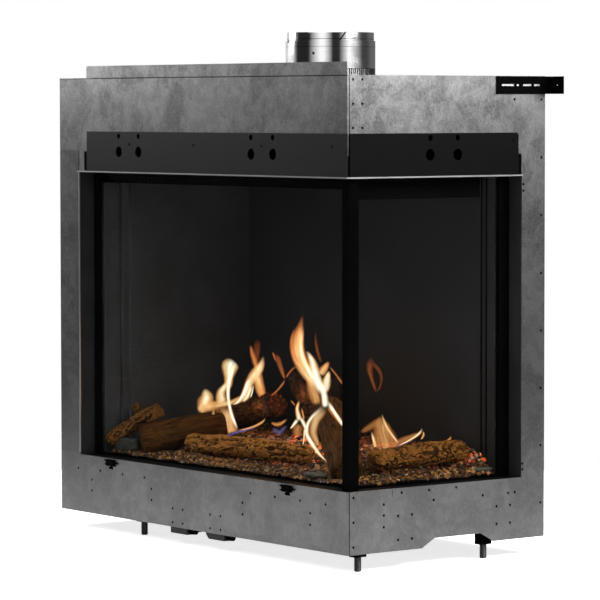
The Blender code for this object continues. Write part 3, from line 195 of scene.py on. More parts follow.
def grey(level: float, cool: float = 1.0) -> Four:
    """Return a grey, its blue multiplied by a factor."""
    return level, level, level * cool, 1.0


def new_group(name: str, kind: str, inputs: Iterable[tuple], output: tuple[str, str]) -> tuple:
    """Start a node group with named sockets.

    Args:
        name: The group's name.
        kind: The tree's type name.
        inputs: Rows of name, socket type and default or None.
        output: The output's name and socket type.
    Returns:
        The group's wiring, its given sockets by name, and its output node.
    """
    group = bpy.data.node_groups.new(name, kind)
    for label, socket, default in inputs:
        made = group.interface.new_socket(name=label, in_out="INPUT", socket_type="NodeSocket" + socket)
        if default is not None:
            made.default_value = default
    group.interface.new_socket(name=output[0], in_out="OUTPUT", socket_type="NodeSocket" + output[1])
    wiring = Wiring(group)
    return wiring, wiring.add("NodeGroupInput").outputs, wiring.add("NodeGroupOutput")


@cache
def soft_patches() -> NodeTree:
    """Build the group for soft patches, a mask from noise between two levels.

    Returns:
        The group.
    """
    wiring, given, out = new_group("soft_patches", "ShaderNodeTree", (
        ("Vector", "Vector", None), ("Scale", "Float", 8.0), ("Detail", "Float", 5.0),
        ("Low", "Float", 0.4), ("High", "Float", 0.6)), ("Mask", "Float"))
    patch = wiring.add("ShaderNodeTexNoise", {
        "Vector": given["Vector"], "Scale": given["Scale"], "Detail": given["Detail"], "Roughness": 0.66,
        "Distortion": 0.6})
    mask = wiring.add("ShaderNodeMapRange", {0: patch, 1: given["Low"], 2: given["High"]},
                      interpolation_type="SMOOTHSTEP")
    wiring.fill(out, {"Mask": mask})
    return wiring.tree


@cache
def long_marks() -> NodeTree:
    """Build the group for long marks, noise stretched along Z by a named factor.

    Returns:
        The group.
    """
    wiring, given, out = new_group("long_marks", "ShaderNodeTree", (
        ("Vector", "Vector", None), ("Scale", "Float", 60.0), ("Stretch", "Float", 0.06)),
        ("Mask", "Float"))
    squeeze = wiring.add("ShaderNodeCombineXYZ", {0: 1.0, 1: 1.0, 2: given["Stretch"]})
    drawn = wiring.add("ShaderNodeVectorMath", {0: given["Vector"], 1: squeeze}, operation="MULTIPLY")
    marks = wiring.add("ShaderNodeTexNoise", {
        "Vector": drawn, "Scale": given["Scale"], "Detail": 4.0, "Roughness": 0.65})
    wiring.fill(out, {"Mask": wiring.spread(marks, 0.35, 0.65, 0.0, 1.0)})
    return wiring.tree


class Paint(Wiring):
    """The wiring of one material, with the effects that several finishes share."""

    def __init__(self, material: Material) -> None:
        """Start from a material's own shader and the object's coordinates.

        Args:
            material: The material, new and empty.
        """
        material.use_nodes = True
        super().__init__(material.node_tree)
        self.shader = self.tree.nodes["Principled BSDF"]
        self.place = self.add("ShaderNodeTexCoord").outputs["Object"]

    def shade(self, inputs: dict[str, object]) -> None:
        """Set or link several inputs of the shader."""
        self.fill(self.shader, inputs)

    def mark(self, name: str) -> NodeSocket:
        """Return the number that the mesh carries under a name."""
        return self.add("ShaderNodeAttribute", attribute_name=name).outputs["Fac"]

    def patches(self, scale: float, detail: float, low: float = 0.3, high: float = 0.7) -> Node:
        """Return a mask of soft patches."""
        inputs = {"Vector": self.place, "Scale": scale, "Detail": detail, "Low": low, "High": high}
        return self.add("ShaderNodeGroup", inputs, node_tree=soft_patches())

    def streaks(self, place: object, scale: float, stretch: float) -> Node:
        """Return a mask of long marks."""
        inputs = {"Vector": place, "Scale": scale, "Stretch": stretch}
        return self.add("ShaderNodeGroup", inputs, node_tree=long_marks())

    def grain(self, place: object, scale: float, detail: float, roughness: float = 0.5) -> Node:
        """Return plain noise."""
        inputs = {"Vector": place, "Scale": scale, "Detail": detail, "Roughness": roughness}
        return self.add("ShaderNodeTexNoise", inputs)

    def bump(self, height: object, strength: float, distance: float) -> Node:
        """Return a normal bumped by a height."""
        return self.add("ShaderNodeBump", {"Strength": strength, "Distance": distance, "Height": height})


# Finishes


@dataclass(frozen=True)
class Finish:
    """What every finish has: its name, and the record's slot that it stands for."""

    name: str
    slot: str

    @cache
    def material(self) -> Material:
        """Build the finish's material, once for all its pieces.

        Returns:
            The material.
        """
        made = bpy.data.materials.new("look_" + self.name)
        self.dress(Paint(made))
        return made

    def dress(self, paint: Paint) -> None:
        """Wire the finish into a material."""
        raise NotImplementedError


@dataclass(frozen=True)
class GalvanisedSheet(Finish):
    """Hot-dipped sheet: grey metal with soft brighter clouds, fine grain and faint drawn marks.

    Each row of clouds holds scale, detail, low level, high level and share.
    """

    dark: float = 0.050
    light: float = 0.170
    dull: float = 0.42
    calm_height: float = 0.16
    busy_height: float = 0.55
    calm_share: float = 0.45
    blue_tint: float = 1.01
    mark_slant: Place = (0.16, 0.22, 0.0)
    clouds: Sequence[tuple[float, float, float, float, float]] = (
        (7.0, 7.0, 0.42, 0.60, 0.40), (26.6, 9.0, 0.45, 0.56, 0.26), (210.0, 3.0, 0.40, 0.60, 0.26))

    def dress(self, paint: Paint) -> None:
        """Wire the clouds, the speckle, the grain and the slanted scratches.

        Args:
            paint: The material's wiring.
        """
        grain = paint.grain(paint.place, scale=330.0, detail=4.0, roughness=0.8)
        level = paint.spread(grain, 0.3, 0.7, -0.12, 0.20)
        for scale, detail, low, high, share in self.clouds:
            mask = paint.patches(scale, detail, low, high)
            level = paint.math("ADD", level, paint.math("MULTIPLY", mask, share))
        slant = paint.add("ShaderNodeMapping", {"Vector": paint.place, "Rotation": self.mark_slant})
        scratch = paint.spread(paint.streaks(slant, scale=150.0, stretch=0.03), 0.72, 1.0, 0.0, 0.16)
        level = paint.math("ADD", level, scratch, clamp=True)
        height = paint.add("ShaderNodeSeparateXYZ", {0: paint.place}).outputs[2]
        busy = paint.spread(height, self.calm_height, self.busy_height, self.calm_share, 1.0)
        swing = paint.math("MULTIPLY", paint.math("SUBTRACT", level, 0.5), busy)
        level = paint.math("ADD", swing, 0.5, clamp=True)
        dark, light = grey(self.dark, self.blue_tint), grey(self.light, self.blue_tint)
        paint.shade({
            "Base Color": paint.blend(level, dark, light),
            "Metallic": 0.92,
            "Roughness": paint.between(level, self.dull, self.dull - 0.07),
            "Normal": paint.bump(grain, strength=0.12, distance=0.0004)})


@dataclass(frozen=True)
class DarkPaint(Finish):
    """Matt heat-proof paint: near black with a fine stipple."""

    level: float
    gloss: float
    rough: float
    stipple: float = 900.0
    dark_share: float = 0.8
    light_share: float = 1.25

    def dress(self, paint: Paint) -> None:
        """Wire the stipple and the uneven sheen.

        Args:
            paint: The material's wiring.
        """
        cloud = paint.patches(scale=9.0, detail=4.0)
        dark, light = grey(self.level * self.dark_share), grey(self.level * self.light_share, 1.03)
        stipple = paint.grain(paint.place, self.stipple, detail=2.0)
        paint.shade({
            "Base Color": paint.blend(cloud, dark, light),
            "Roughness": paint.between(cloud, self.rough - 0.05, self.rough + 0.06),
            "Specular IOR Level": self.gloss,
            "Normal": paint.bump(stipple, strength=0.10, distance=0.0003)})


@dataclass(frozen=True)
class BrushedSteel(Finish):
    """Bright steel brushed round the pipe."""

    level: float
    rough: float
    rough_swing: float = 0.03

    def dress(self, paint: Paint) -> None:
        """Wire the brush lines and the uneven sheen.

        Args:
            paint: The material's wiring.
        """
        lines = paint.streaks(paint.place, scale=12.0, stretch=60.0)
        cloud = paint.patches(scale=16.0, detail=4.0)
        paint.shade({
            "Base Color": paint.blend(lines, grey(self.level * 0.90), grey(self.level * 1.05, 1.01)),
            "Metallic": 1.0,
            "Roughness": paint.between(cloud, self.rough - self.rough_swing, self.rough + self.rough_swing),
            "Normal": paint.bump(lines, strength=0.03, distance=0.0002)})


@dataclass(frozen=True)
class Brass(Finish):
    """Machined brass, slightly dulled."""

    dark: Place = (0.42, 0.29, 0.11)
    light: Place = (0.56, 0.41, 0.17)

    def dress(self, paint: Paint) -> None:
        """Wire the dull patches.

        Args:
            paint: The material's wiring.
        """
        cloud = paint.patches(scale=40.0, detail=5.0)
        paint.shade({
            "Base Color": paint.blend(cloud, (*self.dark, 1), (*self.light, 1)),
            "Metallic": 1.0,
            "Roughness": paint.between(cloud, 0.42, 0.28)})


@dataclass(frozen=True)
class CeramicGlass(Finish):
    """Clear heat-proof glass: almost nothing but a faint reflection."""

    body: float = 0.055
    sheen: float = 0.5
    tint: Place = (0.01, 0.011, 0.011)

    def dress(self, paint: Paint) -> None:
        """Wire the thin body and the reflection that grows at grazing angles.

        Args:
            paint: The material's wiring.
        """
        film = paint.patches(scale=3.0, detail=2.0)
        fresnel = paint.add("ShaderNodeFresnel", {"IOR": 1.10})
        outward = paint.math("SUBTRACT", 1.0, paint.add("ShaderNodeNewGeometry").outputs["Backfacing"])
        alpha = paint.math("ADD", paint.math("MULTIPLY", fresnel, self.sheen), self.body)
        paint.shade({
            "Base Color": (*self.tint, 1),
            "Alpha": paint.math("MULTIPLY", alpha, outward, clamp=True),
            "Roughness": paint.between(film, 0.03, 0.06),
            "Specular IOR Level": 0.3})


@dataclass(frozen=True)
class CeramicWood(Finish):
    """Cast ceramic painted as wood: furrows, ridges, cut ends, charring and glowing cracks."""

    # The furrow and ridge tones carry painted shade in the furrows and painted highlight on the ridges,
    # besides the wood's own tone.
    furrow: Place = (0.004, 0.0015, 0.0004)
    ridge: Place = (0.300, 0.120, 0.024)
    end: Place = (0.170, 0.072, 0.020)
    glow: float = 0.0
    middle_share: float = 0.42
    soot: Sequence[Place] = ((0.004, 0.003, 0.003), (0.020, 0.014, 0.011))
    embers: Sequence[tuple[float, Place]] = (
        (0.0, (0.0, 0.0, 0.0)), (0.35, (0.35, 0.02, 0.002)), (0.9, (1.0, 0.16, 0.02)))

    def dress(self, paint: Paint) -> None:
        """Wire the painted bark from the piece's own attributes.

        Args:
            paint: The material's wiring.
        """
        patch = paint.patches(scale=34.0, detail=6.0, low=0.32, high=0.68)
        speck = paint.patches(scale=240.0, detail=4.0)
        share = self.middle_share
        middle = tuple((1 - share) * a + share * b for a, b in zip(self.furrow, self.ridge))
        relief = paint.math("MULTIPLY", paint.mark("relief"), 0.85)
        tone = paint.math("ADD", relief, paint.math("MULTIPLY", speck, 0.15))
        # Colour by relief: darker in the furrows, lighter on the ridges; partly the bark's own tone, partly
        # painted shade and painted highlight.
        colour = paint.ramp(tone, ((0.26, self.furrow), (0.60, middle), (0.92, self.ridge)))
        worn = tuple(value * 0.5 for value in self.ridge)
        colour = paint.blend(paint.math("MULTIPLY", patch, 0.55), colour, (*worn, 1))
        colour = paint.blend(paint.math("MULTIPLY", paint.mark("sawn"), 0.8), colour, (*self.end, 1))
        black = paint.blend(speck, *((*shade, 1) for shade in self.soot))
        paint.shade({
            "Base Color": paint.blend(paint.mark("char"), colour, black),
            "Roughness": paint.between(tone, 0.95, 0.70),
            "Specular IOR Level": 0.04,
            "Normal": paint.bump(speck, strength=0.5, distance=0.0012)})
        if self.glow:
            crack = paint.patches(scale=150.0, detail=3.0, low=0.52, high=0.66)
            lit = paint.math("MULTIPLY", crack, paint.mark("firing"))
            paint.shade({"Emission Color": paint.ramp(lit, self.embers), "Emission Strength": self.glow})


@dataclass(frozen=True)
class Granules(Finish):
    """Crushed glassy granules: amber, brown and black, some of them glowing."""

    glow: float = 1.25
    tones: Sequence[tuple[float, Place]] = (
        (0.0, (0.004, 0.0016, 0.0005)), (0.40, (0.028, 0.0105, 0.0018)), (0.75, (0.115, 0.047, 0.008)),
        (1.0, (0.25, 0.120, 0.026)))
    embers: Sequence[tuple[float, Place]] = (
        (0.0, (0.0, 0.0, 0.0)), (0.45, (0.30, 0.028, 0.004)), (1.0, (0.92, 0.22, 0.04)))
    dust: Place = (0.02, 0.009, 0.003)
    ash: Place = (0.40, 0.22, 0.18)

    def dress(self, paint: Paint) -> None:
        """Wire the tone and the heat that each granule carries.

        Args:
            paint: The material's wiring.
        """
        tone = paint.mark("tone")
        speck = paint.patches(scale=420.0, detail=3.0)
        dusty = paint.math("MULTIPLY", speck, 0.4)
        colour = paint.blend(dusty, paint.ramp(tone, self.tones), (*self.dust, 1))
        burnt = paint.spread(tone, 0.76, 0.80, 0.0, 0.8)
        burnt = paint.math("MULTIPLY", burnt, paint.mark("warmth"), clamp=True)
        paint.shade({
            "Base Color": paint.blend(burnt, colour, (*self.ash, 1)),
            "Roughness": paint.between(tone, 0.45, 0.3),
            "Specular IOR Level": 0.15,
            "Emission Color": paint.ramp(paint.mark("firing"), self.embers),
            "Emission Strength": self.glow})


@dataclass(frozen=True)
class AshBed(Finish):
    """The bed under the granules: dark crumbled ceramic."""

    dark: Place = (0.008, 0.004, 0.002)
    light: Place = (0.045, 0.018, 0.006)

    def dress(self, paint: Paint) -> None:
        """Wire the crumbs.

        Args:
            paint: The material's wiring.
        """
        crumb = paint.add("ShaderNodeTexVoronoi", {"Vector": paint.place, "Scale": 160.0})
        patch = paint.patches(scale=22.0, detail=6.0, low=0.35)
        paint.shade({
            "Base Color": paint.blend(patch, (*self.dark, 1), (*self.light, 1)),
            "Roughness": 0.8,
            "Specular IOR Level": 0.08,
            "Normal": paint.bump(crumb, strength=0.8, distance=0.002)})


@dataclass(frozen=True)
class RiverStone(Finish):
    """Rounded greenish grey stone with fine specks."""

    dark: Place = (0.018, 0.018, 0.012)
    light: Place = (0.050, 0.047, 0.031)

    def dress(self, paint: Paint) -> None:
        """Wire the specks and the veins.

        Args:
            paint: The material's wiring.
        """
        speck = paint.patches(scale=420.0, detail=4.0, low=0.35, high=0.68)
        cloud = paint.patches(scale=45.0, detail=5.0)
        colour = paint.blend(cloud, (*self.dark, 1), (*self.light, 1))
        paint.shade({
            "Base Color": paint.blend(paint.math("MULTIPLY", speck, 0.5), colour, (*self.dark, 1)),
            "Roughness": 0.75,
            "Specular IOR Level": 0.25,
            "Normal": paint.bump(speck, strength=0.35, distance=0.0008)})


@dataclass(frozen=True)
class Flame(Finish):
    """Burning gas: white inside, amber and clear towards its edges, blue at its foot."""

    strength: float = 1.45
    fire: Sequence[tuple[float, Place]] = (
        (0.0, (0.10, 0.018, 0.004)), (0.20, (0.36, 0.085, 0.020)), (0.38, (0.72, 0.24, 0.065)),
        (0.55, (0.90, 0.45, 0.150)), (0.70, (0.95, 0.68, 0.330)), (0.88, (1.0, 0.94, 0.750)))
    blue: Sequence[tuple[float, Place]] = (
        (0.0, (0.006, 0.005, 0.025)), (0.5, (0.060, 0.050, 0.200)), (1.0, (0.30, 0.28, 0.60)))

    def dress(self, paint: Paint) -> None:
        """Wire the heat, the flowing strands and the soft edges from the licks' own attributes.

        Args:
            paint: The material's wiring.
        """
        flow = paint.add("ShaderNodeAttribute", attribute_name="flow").outputs["Vector"]
        strand = paint.spread(paint.grain(flow, scale=1.0, detail=3.0, roughness=0.6), 0.32, 0.68, 0.0, 1.0)
        edge = paint.math("SUBTRACT", 1.0, paint.math("POWER", paint.mark("across"), 2.0), clamp=True)
        glow = paint.between(paint.math("POWER", edge, 0.9), 0.42, 1.0)
        core = paint.math("MULTIPLY", paint.mark("firing"), glow)
        core = paint.math("ADD", core, paint.between(strand, -0.08, 0.06), clamp=True)
        veil = paint.math("POWER", edge, paint.mark("softness"))
        veil = paint.math("MULTIPLY", veil, paint.between(strand, 0.70, 1.0))
        cover = paint.math("MULTIPLY", veil, paint.mark("fade"), clamp=True)
        both_skins = paint.math("POWER", paint.math("SUBTRACT", 1.0, cover), 0.5)
        paint.shade({
            "Base Color": (0, 0, 0, 1),
            "Roughness": 1.0,
            "Specular IOR Level": 0.0,
            "Emission Color": paint.blend(paint.mark("cool"), paint.ramp(core, self.fire),
                                          paint.ramp(core, self.blue)),
            "Emission Strength": self.strength,
            "Alpha": paint.math("SUBTRACT", 1.0, both_skins, clamp=True)})


class Looks(Enum):
    """The finishes of this fireplace."""

    GALVANISED = GalvanisedSheet("galvanised", "galvanised_sheet")
    # The top plate's copy of the galvanised finish: rougher, and darker as painted shade against the
    # softboxes' glare.
    TOP_SHADE_SHEET = GalvanisedSheet("top_shade_painted_galvanised", "galvanised_sheet", 0.040, 0.135, dull=0.86)
    # The left stile's copy of the galvanised finish: darker, as painted shade.
    STILE_SHADE_SHEET = GalvanisedSheet("stile_shade_painted_galvanised", "galvanised_sheet", 0.034, 0.112)
    # The lower front panel's copy of the galvanised finish: darker, as painted shade against the floor's
    # brighter light.
    LOW_SHADE_SHEET = GalvanisedSheet("lower_shade_painted_galvanised", "galvanised_sheet", 0.036, 0.122)
    # The right side panel's copy of the galvanised finish: darker, as painted shade against the side's
    # stronger light.
    SIDE_SHADE_SHEET = GalvanisedSheet("side_shade_painted_galvanised", "galvanised_sheet", 0.042, 0.146)
    BLACK = DarkPaint("black_paint", "black_painted_steel", 0.0012, 0.002, 0.60)
    BOX = DarkPaint("box_paint", "black_painted_steel", 0.014, 0.07, 0.50)
    REVEAL = DarkPaint("reveal_paint", "black_painted_steel", 0.010, 0.14, 0.60)
    JAMB = DarkPaint("jamb_paint", "black_painted_steel", 0.008, 0.12, 0.60)
    # A darker copy of the jamb paint for the window sill: painted shade.
    SHADED_SILL = DarkPaint("sill_shade_paint", "black_painted_steel", 0.0016, 0.03, 0.60)
    RAIL = DarkPaint("rail_paint", "black_painted_steel", 0.0030, 0.07, 0.55)
    # A darker copy of the rail paint for the side rail: painted shade.
    SHADED_SIDE_RAIL = DarkPaint("side_rail_shade_paint", "black_painted_steel", 0.0012, 0.030, 0.55)
    # A lighter and a darker copy of the liner paint: the lighter one, raised for the lit left liner, is
    # painted light; the darker one on the back liner is painted shade.
    LIT_LINER = DarkPaint("lit_liner_paint", "firebox_liner", 0.021, 0.16, 0.62)
    SHADED_BACK_LINER = DarkPaint("back_liner_shade_paint", "firebox_liner", 0.010, 0.15, 0.62)
    TRIM = BrushedSteel("trim_steel", "bright_steel", 0.30, 0.36)
    STEEL = BrushedSteel("brushed_steel", "bright_steel", 0.68, 0.10)
    RING_STEEL = BrushedSteel("ring_steel", "bright_steel", 0.075, 0.25)
    # Lighter steel for the base ring's ribs: painted highlights on the crimps.
    RIB_HIGHLIGHT_STEEL = BrushedSteel("rib_highlight_steel", "bright_steel", 0.22, 0.30)
    ZINC = BrushedSteel("zinc_plate", "bright_steel", 0.45, 0.32)
    BOLT = BrushedSteel("dark_bolt", "bright_steel", 0.045, 0.45)
    BRASS = Brass("dull_brass", "brass")
    GLASS = CeramicGlass("clear_glass", "ceramic_glass")
    BARK = CeramicWood("barked_wood", "ceramic_bark")
    DULL_BARK = CeramicWood(
        "dull_bark", "ceramic_bark", ridge=(0.115, 0.048, 0.009), end=(0.095, 0.040, 0.009))
    SIDE_BARK = CeramicWood(
        "side_bark", "ceramic_bark", (0.003, 0.0011, 0.0003), (0.165, 0.064, 0.010), (0.140, 0.058, 0.014))
    SMOOTH_WOOD = CeramicWood(
        "smooth_wood", "ceramic_bark", (0.006, 0.0021, 0.0004), (0.066, 0.025, 0.0038),
        (0.060, 0.024, 0.005))
    DARK_WOOD = CeramicWood(
        "dark_wood", "ceramic_bark", (0.005, 0.0022, 0.001), (0.040, 0.016, 0.006), (0.040, 0.016, 0.006))
    SHADED_WOOD = CeramicWood(
        "shaded_wood", "ceramic_bark", (0.0015, 0.0007, 0.0003), (0.012, 0.005, 0.0018),
        (0.012, 0.005, 0.0018))
    CHARRED_WOOD = CeramicWood(
        "charred_wood", "ceramic_bark", (0.003, 0.0015, 0.001), (0.085, 0.034, 0.010),
        (0.060, 0.026, 0.010), glow=0.13)
    GRANULES = Granules("granules", "ember_bed")
    ASH = AshBed("ash_bed", "ember_bed")
    STONE = RiverStone("river_stone", "stone")
    # A darker copy of the stone finish for the left stone: painted shade.
    SHADED_STONE = RiverStone("shade_painted_stone", "stone", (0.006, 0.0065, 0.004), (0.022, 0.022, 0.014))
    FLAME = Flame("gas_flame", "ember_bed")


# Meshes and pieces


def paint_mesh(data: Mesh, look: Looks) -> None:
    """Give a mesh one finish."""
    data.materials.clear()
    data.materials.append(look.value.material())


def dress_nodes(names: Iterable[str], look: Looks) -> None:
    """Give CAD nodes a finish where they stand."""
    for name in names:
        paint_mesh(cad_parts[name].data, look)


def finish_piece(obj: Object, look: Looks, body: str = CASING_BODY, stands_for: Sequence[str] = ()) -> None:
    """Dress a piece, seat it on its body and hide the CAD nodes that it replaces.

    Args:
        obj: The finished piece.
        look: Its finish.
        body: The body that it rides on.
        stands_for: The CAD nodes that it replaces.
    """
    paint_mesh(obj.data, look)
    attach(obj, body)
    if stands_for:
        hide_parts(*stands_for)
    LOGGER.info("%s: %d faces on %s", obj.name, len(obj.data.polygons), body)


def link_object(name: str, data: bpy.types.ID) -> Object:
    """Put an object into the scene.

    Args:
        name: The object's name.
        data: Its mesh, light or camera.
    Returns:
        The new object.
    """
    obj = bpy.data.objects.new(name, data)
    bpy.context.scene.collection.objects.link(obj)
    return obj


def mesh_object(name: str, bm: BMesh, angle: float | None = None) -> Object:
    """Turn a bmesh into an object.

    Args:
        name: The object's name.
        bm: The mesh, which is freed.
        angle: The angle in degrees past which an edge stays sharp, or None for flat faces.
    Returns:
        The new object.
    """
    mesh = bpy.data.meshes.new(name)
    bm.to_mesh(mesh)
    bm.free()
    if angle is not None:
        mesh.shade_smooth()
        mesh.set_sharp_from_angle(angle=math.radians(angle))
    return link_object(name, mesh)


def set_attribute(mesh: Mesh, name: str, values: Sequence[float], vector: bool = False) -> None:
    """Store one number, or one vector, for each of a mesh's points."""
    layer = mesh.attributes.new(name, "FLOAT_VECTOR" if vector else "FLOAT", "POINT")
    layer.data.foreach_set("vector" if vector else "value", values)


def bridge(bm: BMesh, low: Sequence[BMVert], high: Sequence[BMVert]) -> None:
    """Join two rings of vertices with quads.

    Args:
        bm: The mesh.
        low: The first ring.
        high: The second ring, with as many vertices.
    """
    for k, (near, above) in enumerate(zip(low, high)):
        step = (k + 1) % len(low)
        bm.faces.new((near, low[step], high[step], above))


def loft(bm: BMesh, rings: Iterable[Iterable[Vector]]) -> None:
    """Skin closed rings of points in order and close both ends.

    Args:
        bm: The mesh that gets the skin.
        rings: Rings with the same number of points, turning anticlockwise seen from the last one.
    """
    rows = [[bm.verts.new(point) for point in ring] for ring in rings]
    for low, high in zip(rows, rows[1:]):
        bridge(bm, low, high)
    bm.faces.new(rows[0][::-1])
    bm.faces.new(rows[-1])


def lofted_piece(name: str, stacks: Iterable[Iterable[Iterable[Vector]]], look: Looks,
                 body: str = CASING_BODY) -> None:
    """Make a flat-faced piece.

    Args:
        name: The piece's name.
        stacks: One stack of rings for each of its closed parts.
        look: Its finish.
        body: The body that it rides on.
    """
    bm = bmesh.new()
    for rings in stacks:
        loft(bm, rings)
    bmesh.ops.recalc_face_normals(bm, faces=bm.faces)
    finish_piece(mesh_object(name, bm), look, body)


def box_piece(name: str, low: Vector, high: Vector, look: Looks, body: str = CASING_BODY) -> None:
    """Make a plain box between two corners of the row frame.

    Args:
        name: The piece's name.
        low: Its lowest corner.
        high: Its highest corner.
        look: Its finish.
        body: The body that it rides on.
    """
    ring = ((low.x, low.y), (high.x, low.y), (high.x, high.y), (low.x, high.y))
    lofted_piece(name, [[[Vector((x, y, z)) for x, y in ring] for z in (low.z, high.z)]], look, body)


def level_way(angle: float) -> Vector:
    """Return the level direction at an angle in degrees."""
    return Vector((math.cos(math.radians(angle)), math.sin(math.radians(angle)), 0))


def turned_piece(name: str, sections: Sequence[Sequence[Flat]], place: Vector, angle: float, look: Looks,
                 stands_for: Sequence[str] = ()) -> None:
    """Make a round piece about a vertical axis.

    Args:
        name: The piece's name.
        sections: A closed section of radius and height for each step of the turn.
        place: The axis's foot.
        angle: The angle in degrees past which an edge stays sharp.
        look: Its finish.
        stands_for: The CAD nodes that it replaces.
    """
    bm = bmesh.new()
    columns = []
    for k, section in enumerate(sections):
        way = level_way(360 * k / len(sections))
        columns.append([bm.verts.new(place + way * r + Vector((0, 0, z))) for r, z in section])
    for near, far in zip(columns, columns[1:] + columns[:1]):
        for i in range(len(near)):
            j = (i + 1) % len(near)
            bm.faces.new((near[i], far[i], far[j], near[j]))
    bmesh.ops.recalc_face_normals(bm, faces=bm.faces)
    finish_piece(mesh_object(name, bm, angle), look, stands_for=stands_for)


def clean_copy(node: str) -> BMesh:
    """Copy a CAD node's mesh, merged and with its flat faces whole.

    Args:
        node: The node's name.
    Returns:
        The copy.
    """
    bm = bmesh.new()
    bm.from_mesh(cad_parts[node].data)
    bmesh.ops.remove_doubles(bm, verts=bm.verts, dist=1e-5)
    bmesh.ops.dissolve_limit(bm, angle_limit=math.radians(0.5), verts=bm.verts, edges=bm.edges)
    return bm


def bake_modifiers(obj: Object) -> None:
    """Turn an object's modifiers into its plain mesh.

    Args:
        obj: The object.
    """
    bpy.context.view_layer.update()
    graph = bpy.context.evaluated_depsgraph_get()
    made = bpy.data.meshes.new_from_object(obj.evaluated_get(graph))
    obj.modifiers.clear()
    obj.data = made


# Repeats by Geometry Nodes


def hand_out(wiring: Wiring, out: Node, instances: Node, finish: NodeSocket) -> NodeTree:
    """Make a tree's instances real, paint them and join them to its output.

    Args:
        wiring: The tree's wiring.
        out: Its output node.
        instances: The node that makes the instances.
        finish: The given material.
    Returns:
        The whole tree.
    """
    real = wiring.add("GeometryNodeRealizeInstances", {0: instances})
    painted = wiring.add("GeometryNodeSetMaterial", {"Geometry": real, "Material": finish})
    wiring.fill(out, {0: painted})
    return wiring.tree


@cache
def drum_tree() -> NodeTree:
    """Build the tree that sets a short drum on every point, turned to the point's direction.

    Returns:
        The tree.
    """
    wiring, given, out = new_group("drums_on_points", "GeometryNodeTree", (
        ("Points", "Geometry", None), ("Radius", "Float", 0.002), ("Length", "Float", 0.002),
        ("Taper", "Float", 1.0), ("Sides", "Int", 12), ("Finish", "Material", None)),
        ("Geometry", "Geometry"))
    drum = wiring.add("GeometryNodeMeshCone", {
        "Vertices": given["Sides"], "Radius Top": wiring.math("MULTIPLY", given["Radius"], given["Taper"]),
        "Radius Bottom": given["Radius"], "Depth": given["Length"]})
    way = wiring.add("GeometryNodeInputNamedAttribute", {"Name": "way"}, data_type="FLOAT_VECTOR")
    turn = wiring.add("FunctionNodeAlignRotationToVector", {"Vector": way}, axis="Z")
    points = wiring.add("GeometryNodeMeshToPoints", {"Mesh": given["Points"]})
    placed = wiring.add("GeometryNodeInstanceOnPoints", {
        "Points": points, "Instance": drum, "Rotation": turn})
    return hand_out(wiring, out, placed, given["Finish"])


@cache
def scatter_tree() -> NodeTree:
    """Build the tree that strews crystals over a surface, with a tone and a heat for each.

    Returns:
        The tree.
    """
    wiring, given, out = new_group("strewn_granules", "GeometryNodeTree", (
        ("Surface", "Geometry", None), ("Density", "Float", 5000.0), ("Smallest", "Float", 0.5),
        ("Largest", "Float", 1.4), ("Radius", "Float", 0.004), ("Seed", "Int", 4),
        ("Hot Share", "Float", 0.1), ("Finish", "Material", None)), ("Geometry", "Geometry"))

    def vary(low: object, high: object, seed: int) -> NodeSocket:
        """Return a random number for each instance."""
        draw = wiring.add("FunctionNodeRandomValue", {2: low, 3: high, "Seed": seed}, data_type="FLOAT")
        return draw.outputs[1]

    def store(geometry: Node, name: str, value: object) -> Node:
        """Return instances that carry a number under a name."""
        return wiring.add("GeometryNodeStoreNamedAttribute", {
            "Geometry": geometry, "Name": name, "Value": value}, data_type="FLOAT", domain="INSTANCE")

    spots = wiring.add("GeometryNodeDistributePointsOnFaces", {
        "Mesh": given["Surface"], "Density": given["Density"], "Seed": given["Seed"]})
    crystal = wiring.add("GeometryNodeMeshIcoSphere", {"Radius": given["Radius"], "Subdivisions": 1})
    rough = wiring.add("ShaderNodeTexNoise", {
        "Vector": wiring.add("GeometryNodeInputPosition"), "Scale": 170.0, "Detail": 1.0}).outputs["Color"]
    push = wiring.add("ShaderNodeVectorMath", {0: rough, 1: (0.5, 0.5, 0.5)}, operation="SUBTRACT")
    reach = wiring.add("ShaderNodeVectorMath", {0: push, "Scale": given["Radius"]}, operation="SCALE")
    push_out = wiring.add("ShaderNodeVectorMath", {0: reach, "Scale": 1.6}, operation="SCALE")
    shaped = wiring.add("GeometryNodeSetPosition", {"Geometry": crystal, "Offset": push_out})
    turn = wiring.add("FunctionNodeRandomValue", {0: (0, 0, 0), 1: (6.28, 6.28, 6.28), "Seed": 3},
                      data_type="FLOAT_VECTOR")
    placed = wiring.add("GeometryNodeInstanceOnPoints", {
        "Points": spots, "Instance": shaped, "Rotation": turn,
        "Scale": vary(given["Smallest"], given["Largest"], 5)})
    toned = store(placed, "tone", vary(0.0, 1.0, 7))
    lucky = wiring.add("FunctionNodeRandomValue", {"Probability": given["Hot Share"], "Seed": 9},
                       data_type="BOOLEAN").outputs[3]
    bed = wiring.add("GeometryNodeInputNamedAttribute", {"Name": "warmth"}, data_type="FLOAT")
    warm = wiring.math("MULTIPLY", vary(0.35, 1.0, 11), lucky)
    heated = store(toned, "firing", wiring.math("MULTIPLY", warm, bed))
    return hand_out(wiring, out, heated, given["Finish"])


def run_tree(obj: Object, tree: NodeTree, values: dict[str, object]) -> None:
    """Put a tree on an object with named values and turn the result into its mesh.

    Args:
        obj: The object that carries the points or the surface.
        tree: The Geometry Nodes tree.
        values: Values by the tree's input names.
    """
    step = obj.modifiers.new("repeat", "NODES")
    step.node_group = tree
    keys = {item.name: item.identifier for item in tree.interface.items_tree if item.in_out == "INPUT"}
    for name, value in values.items():
        step[keys[name]] = value
    bake_modifiers(obj)


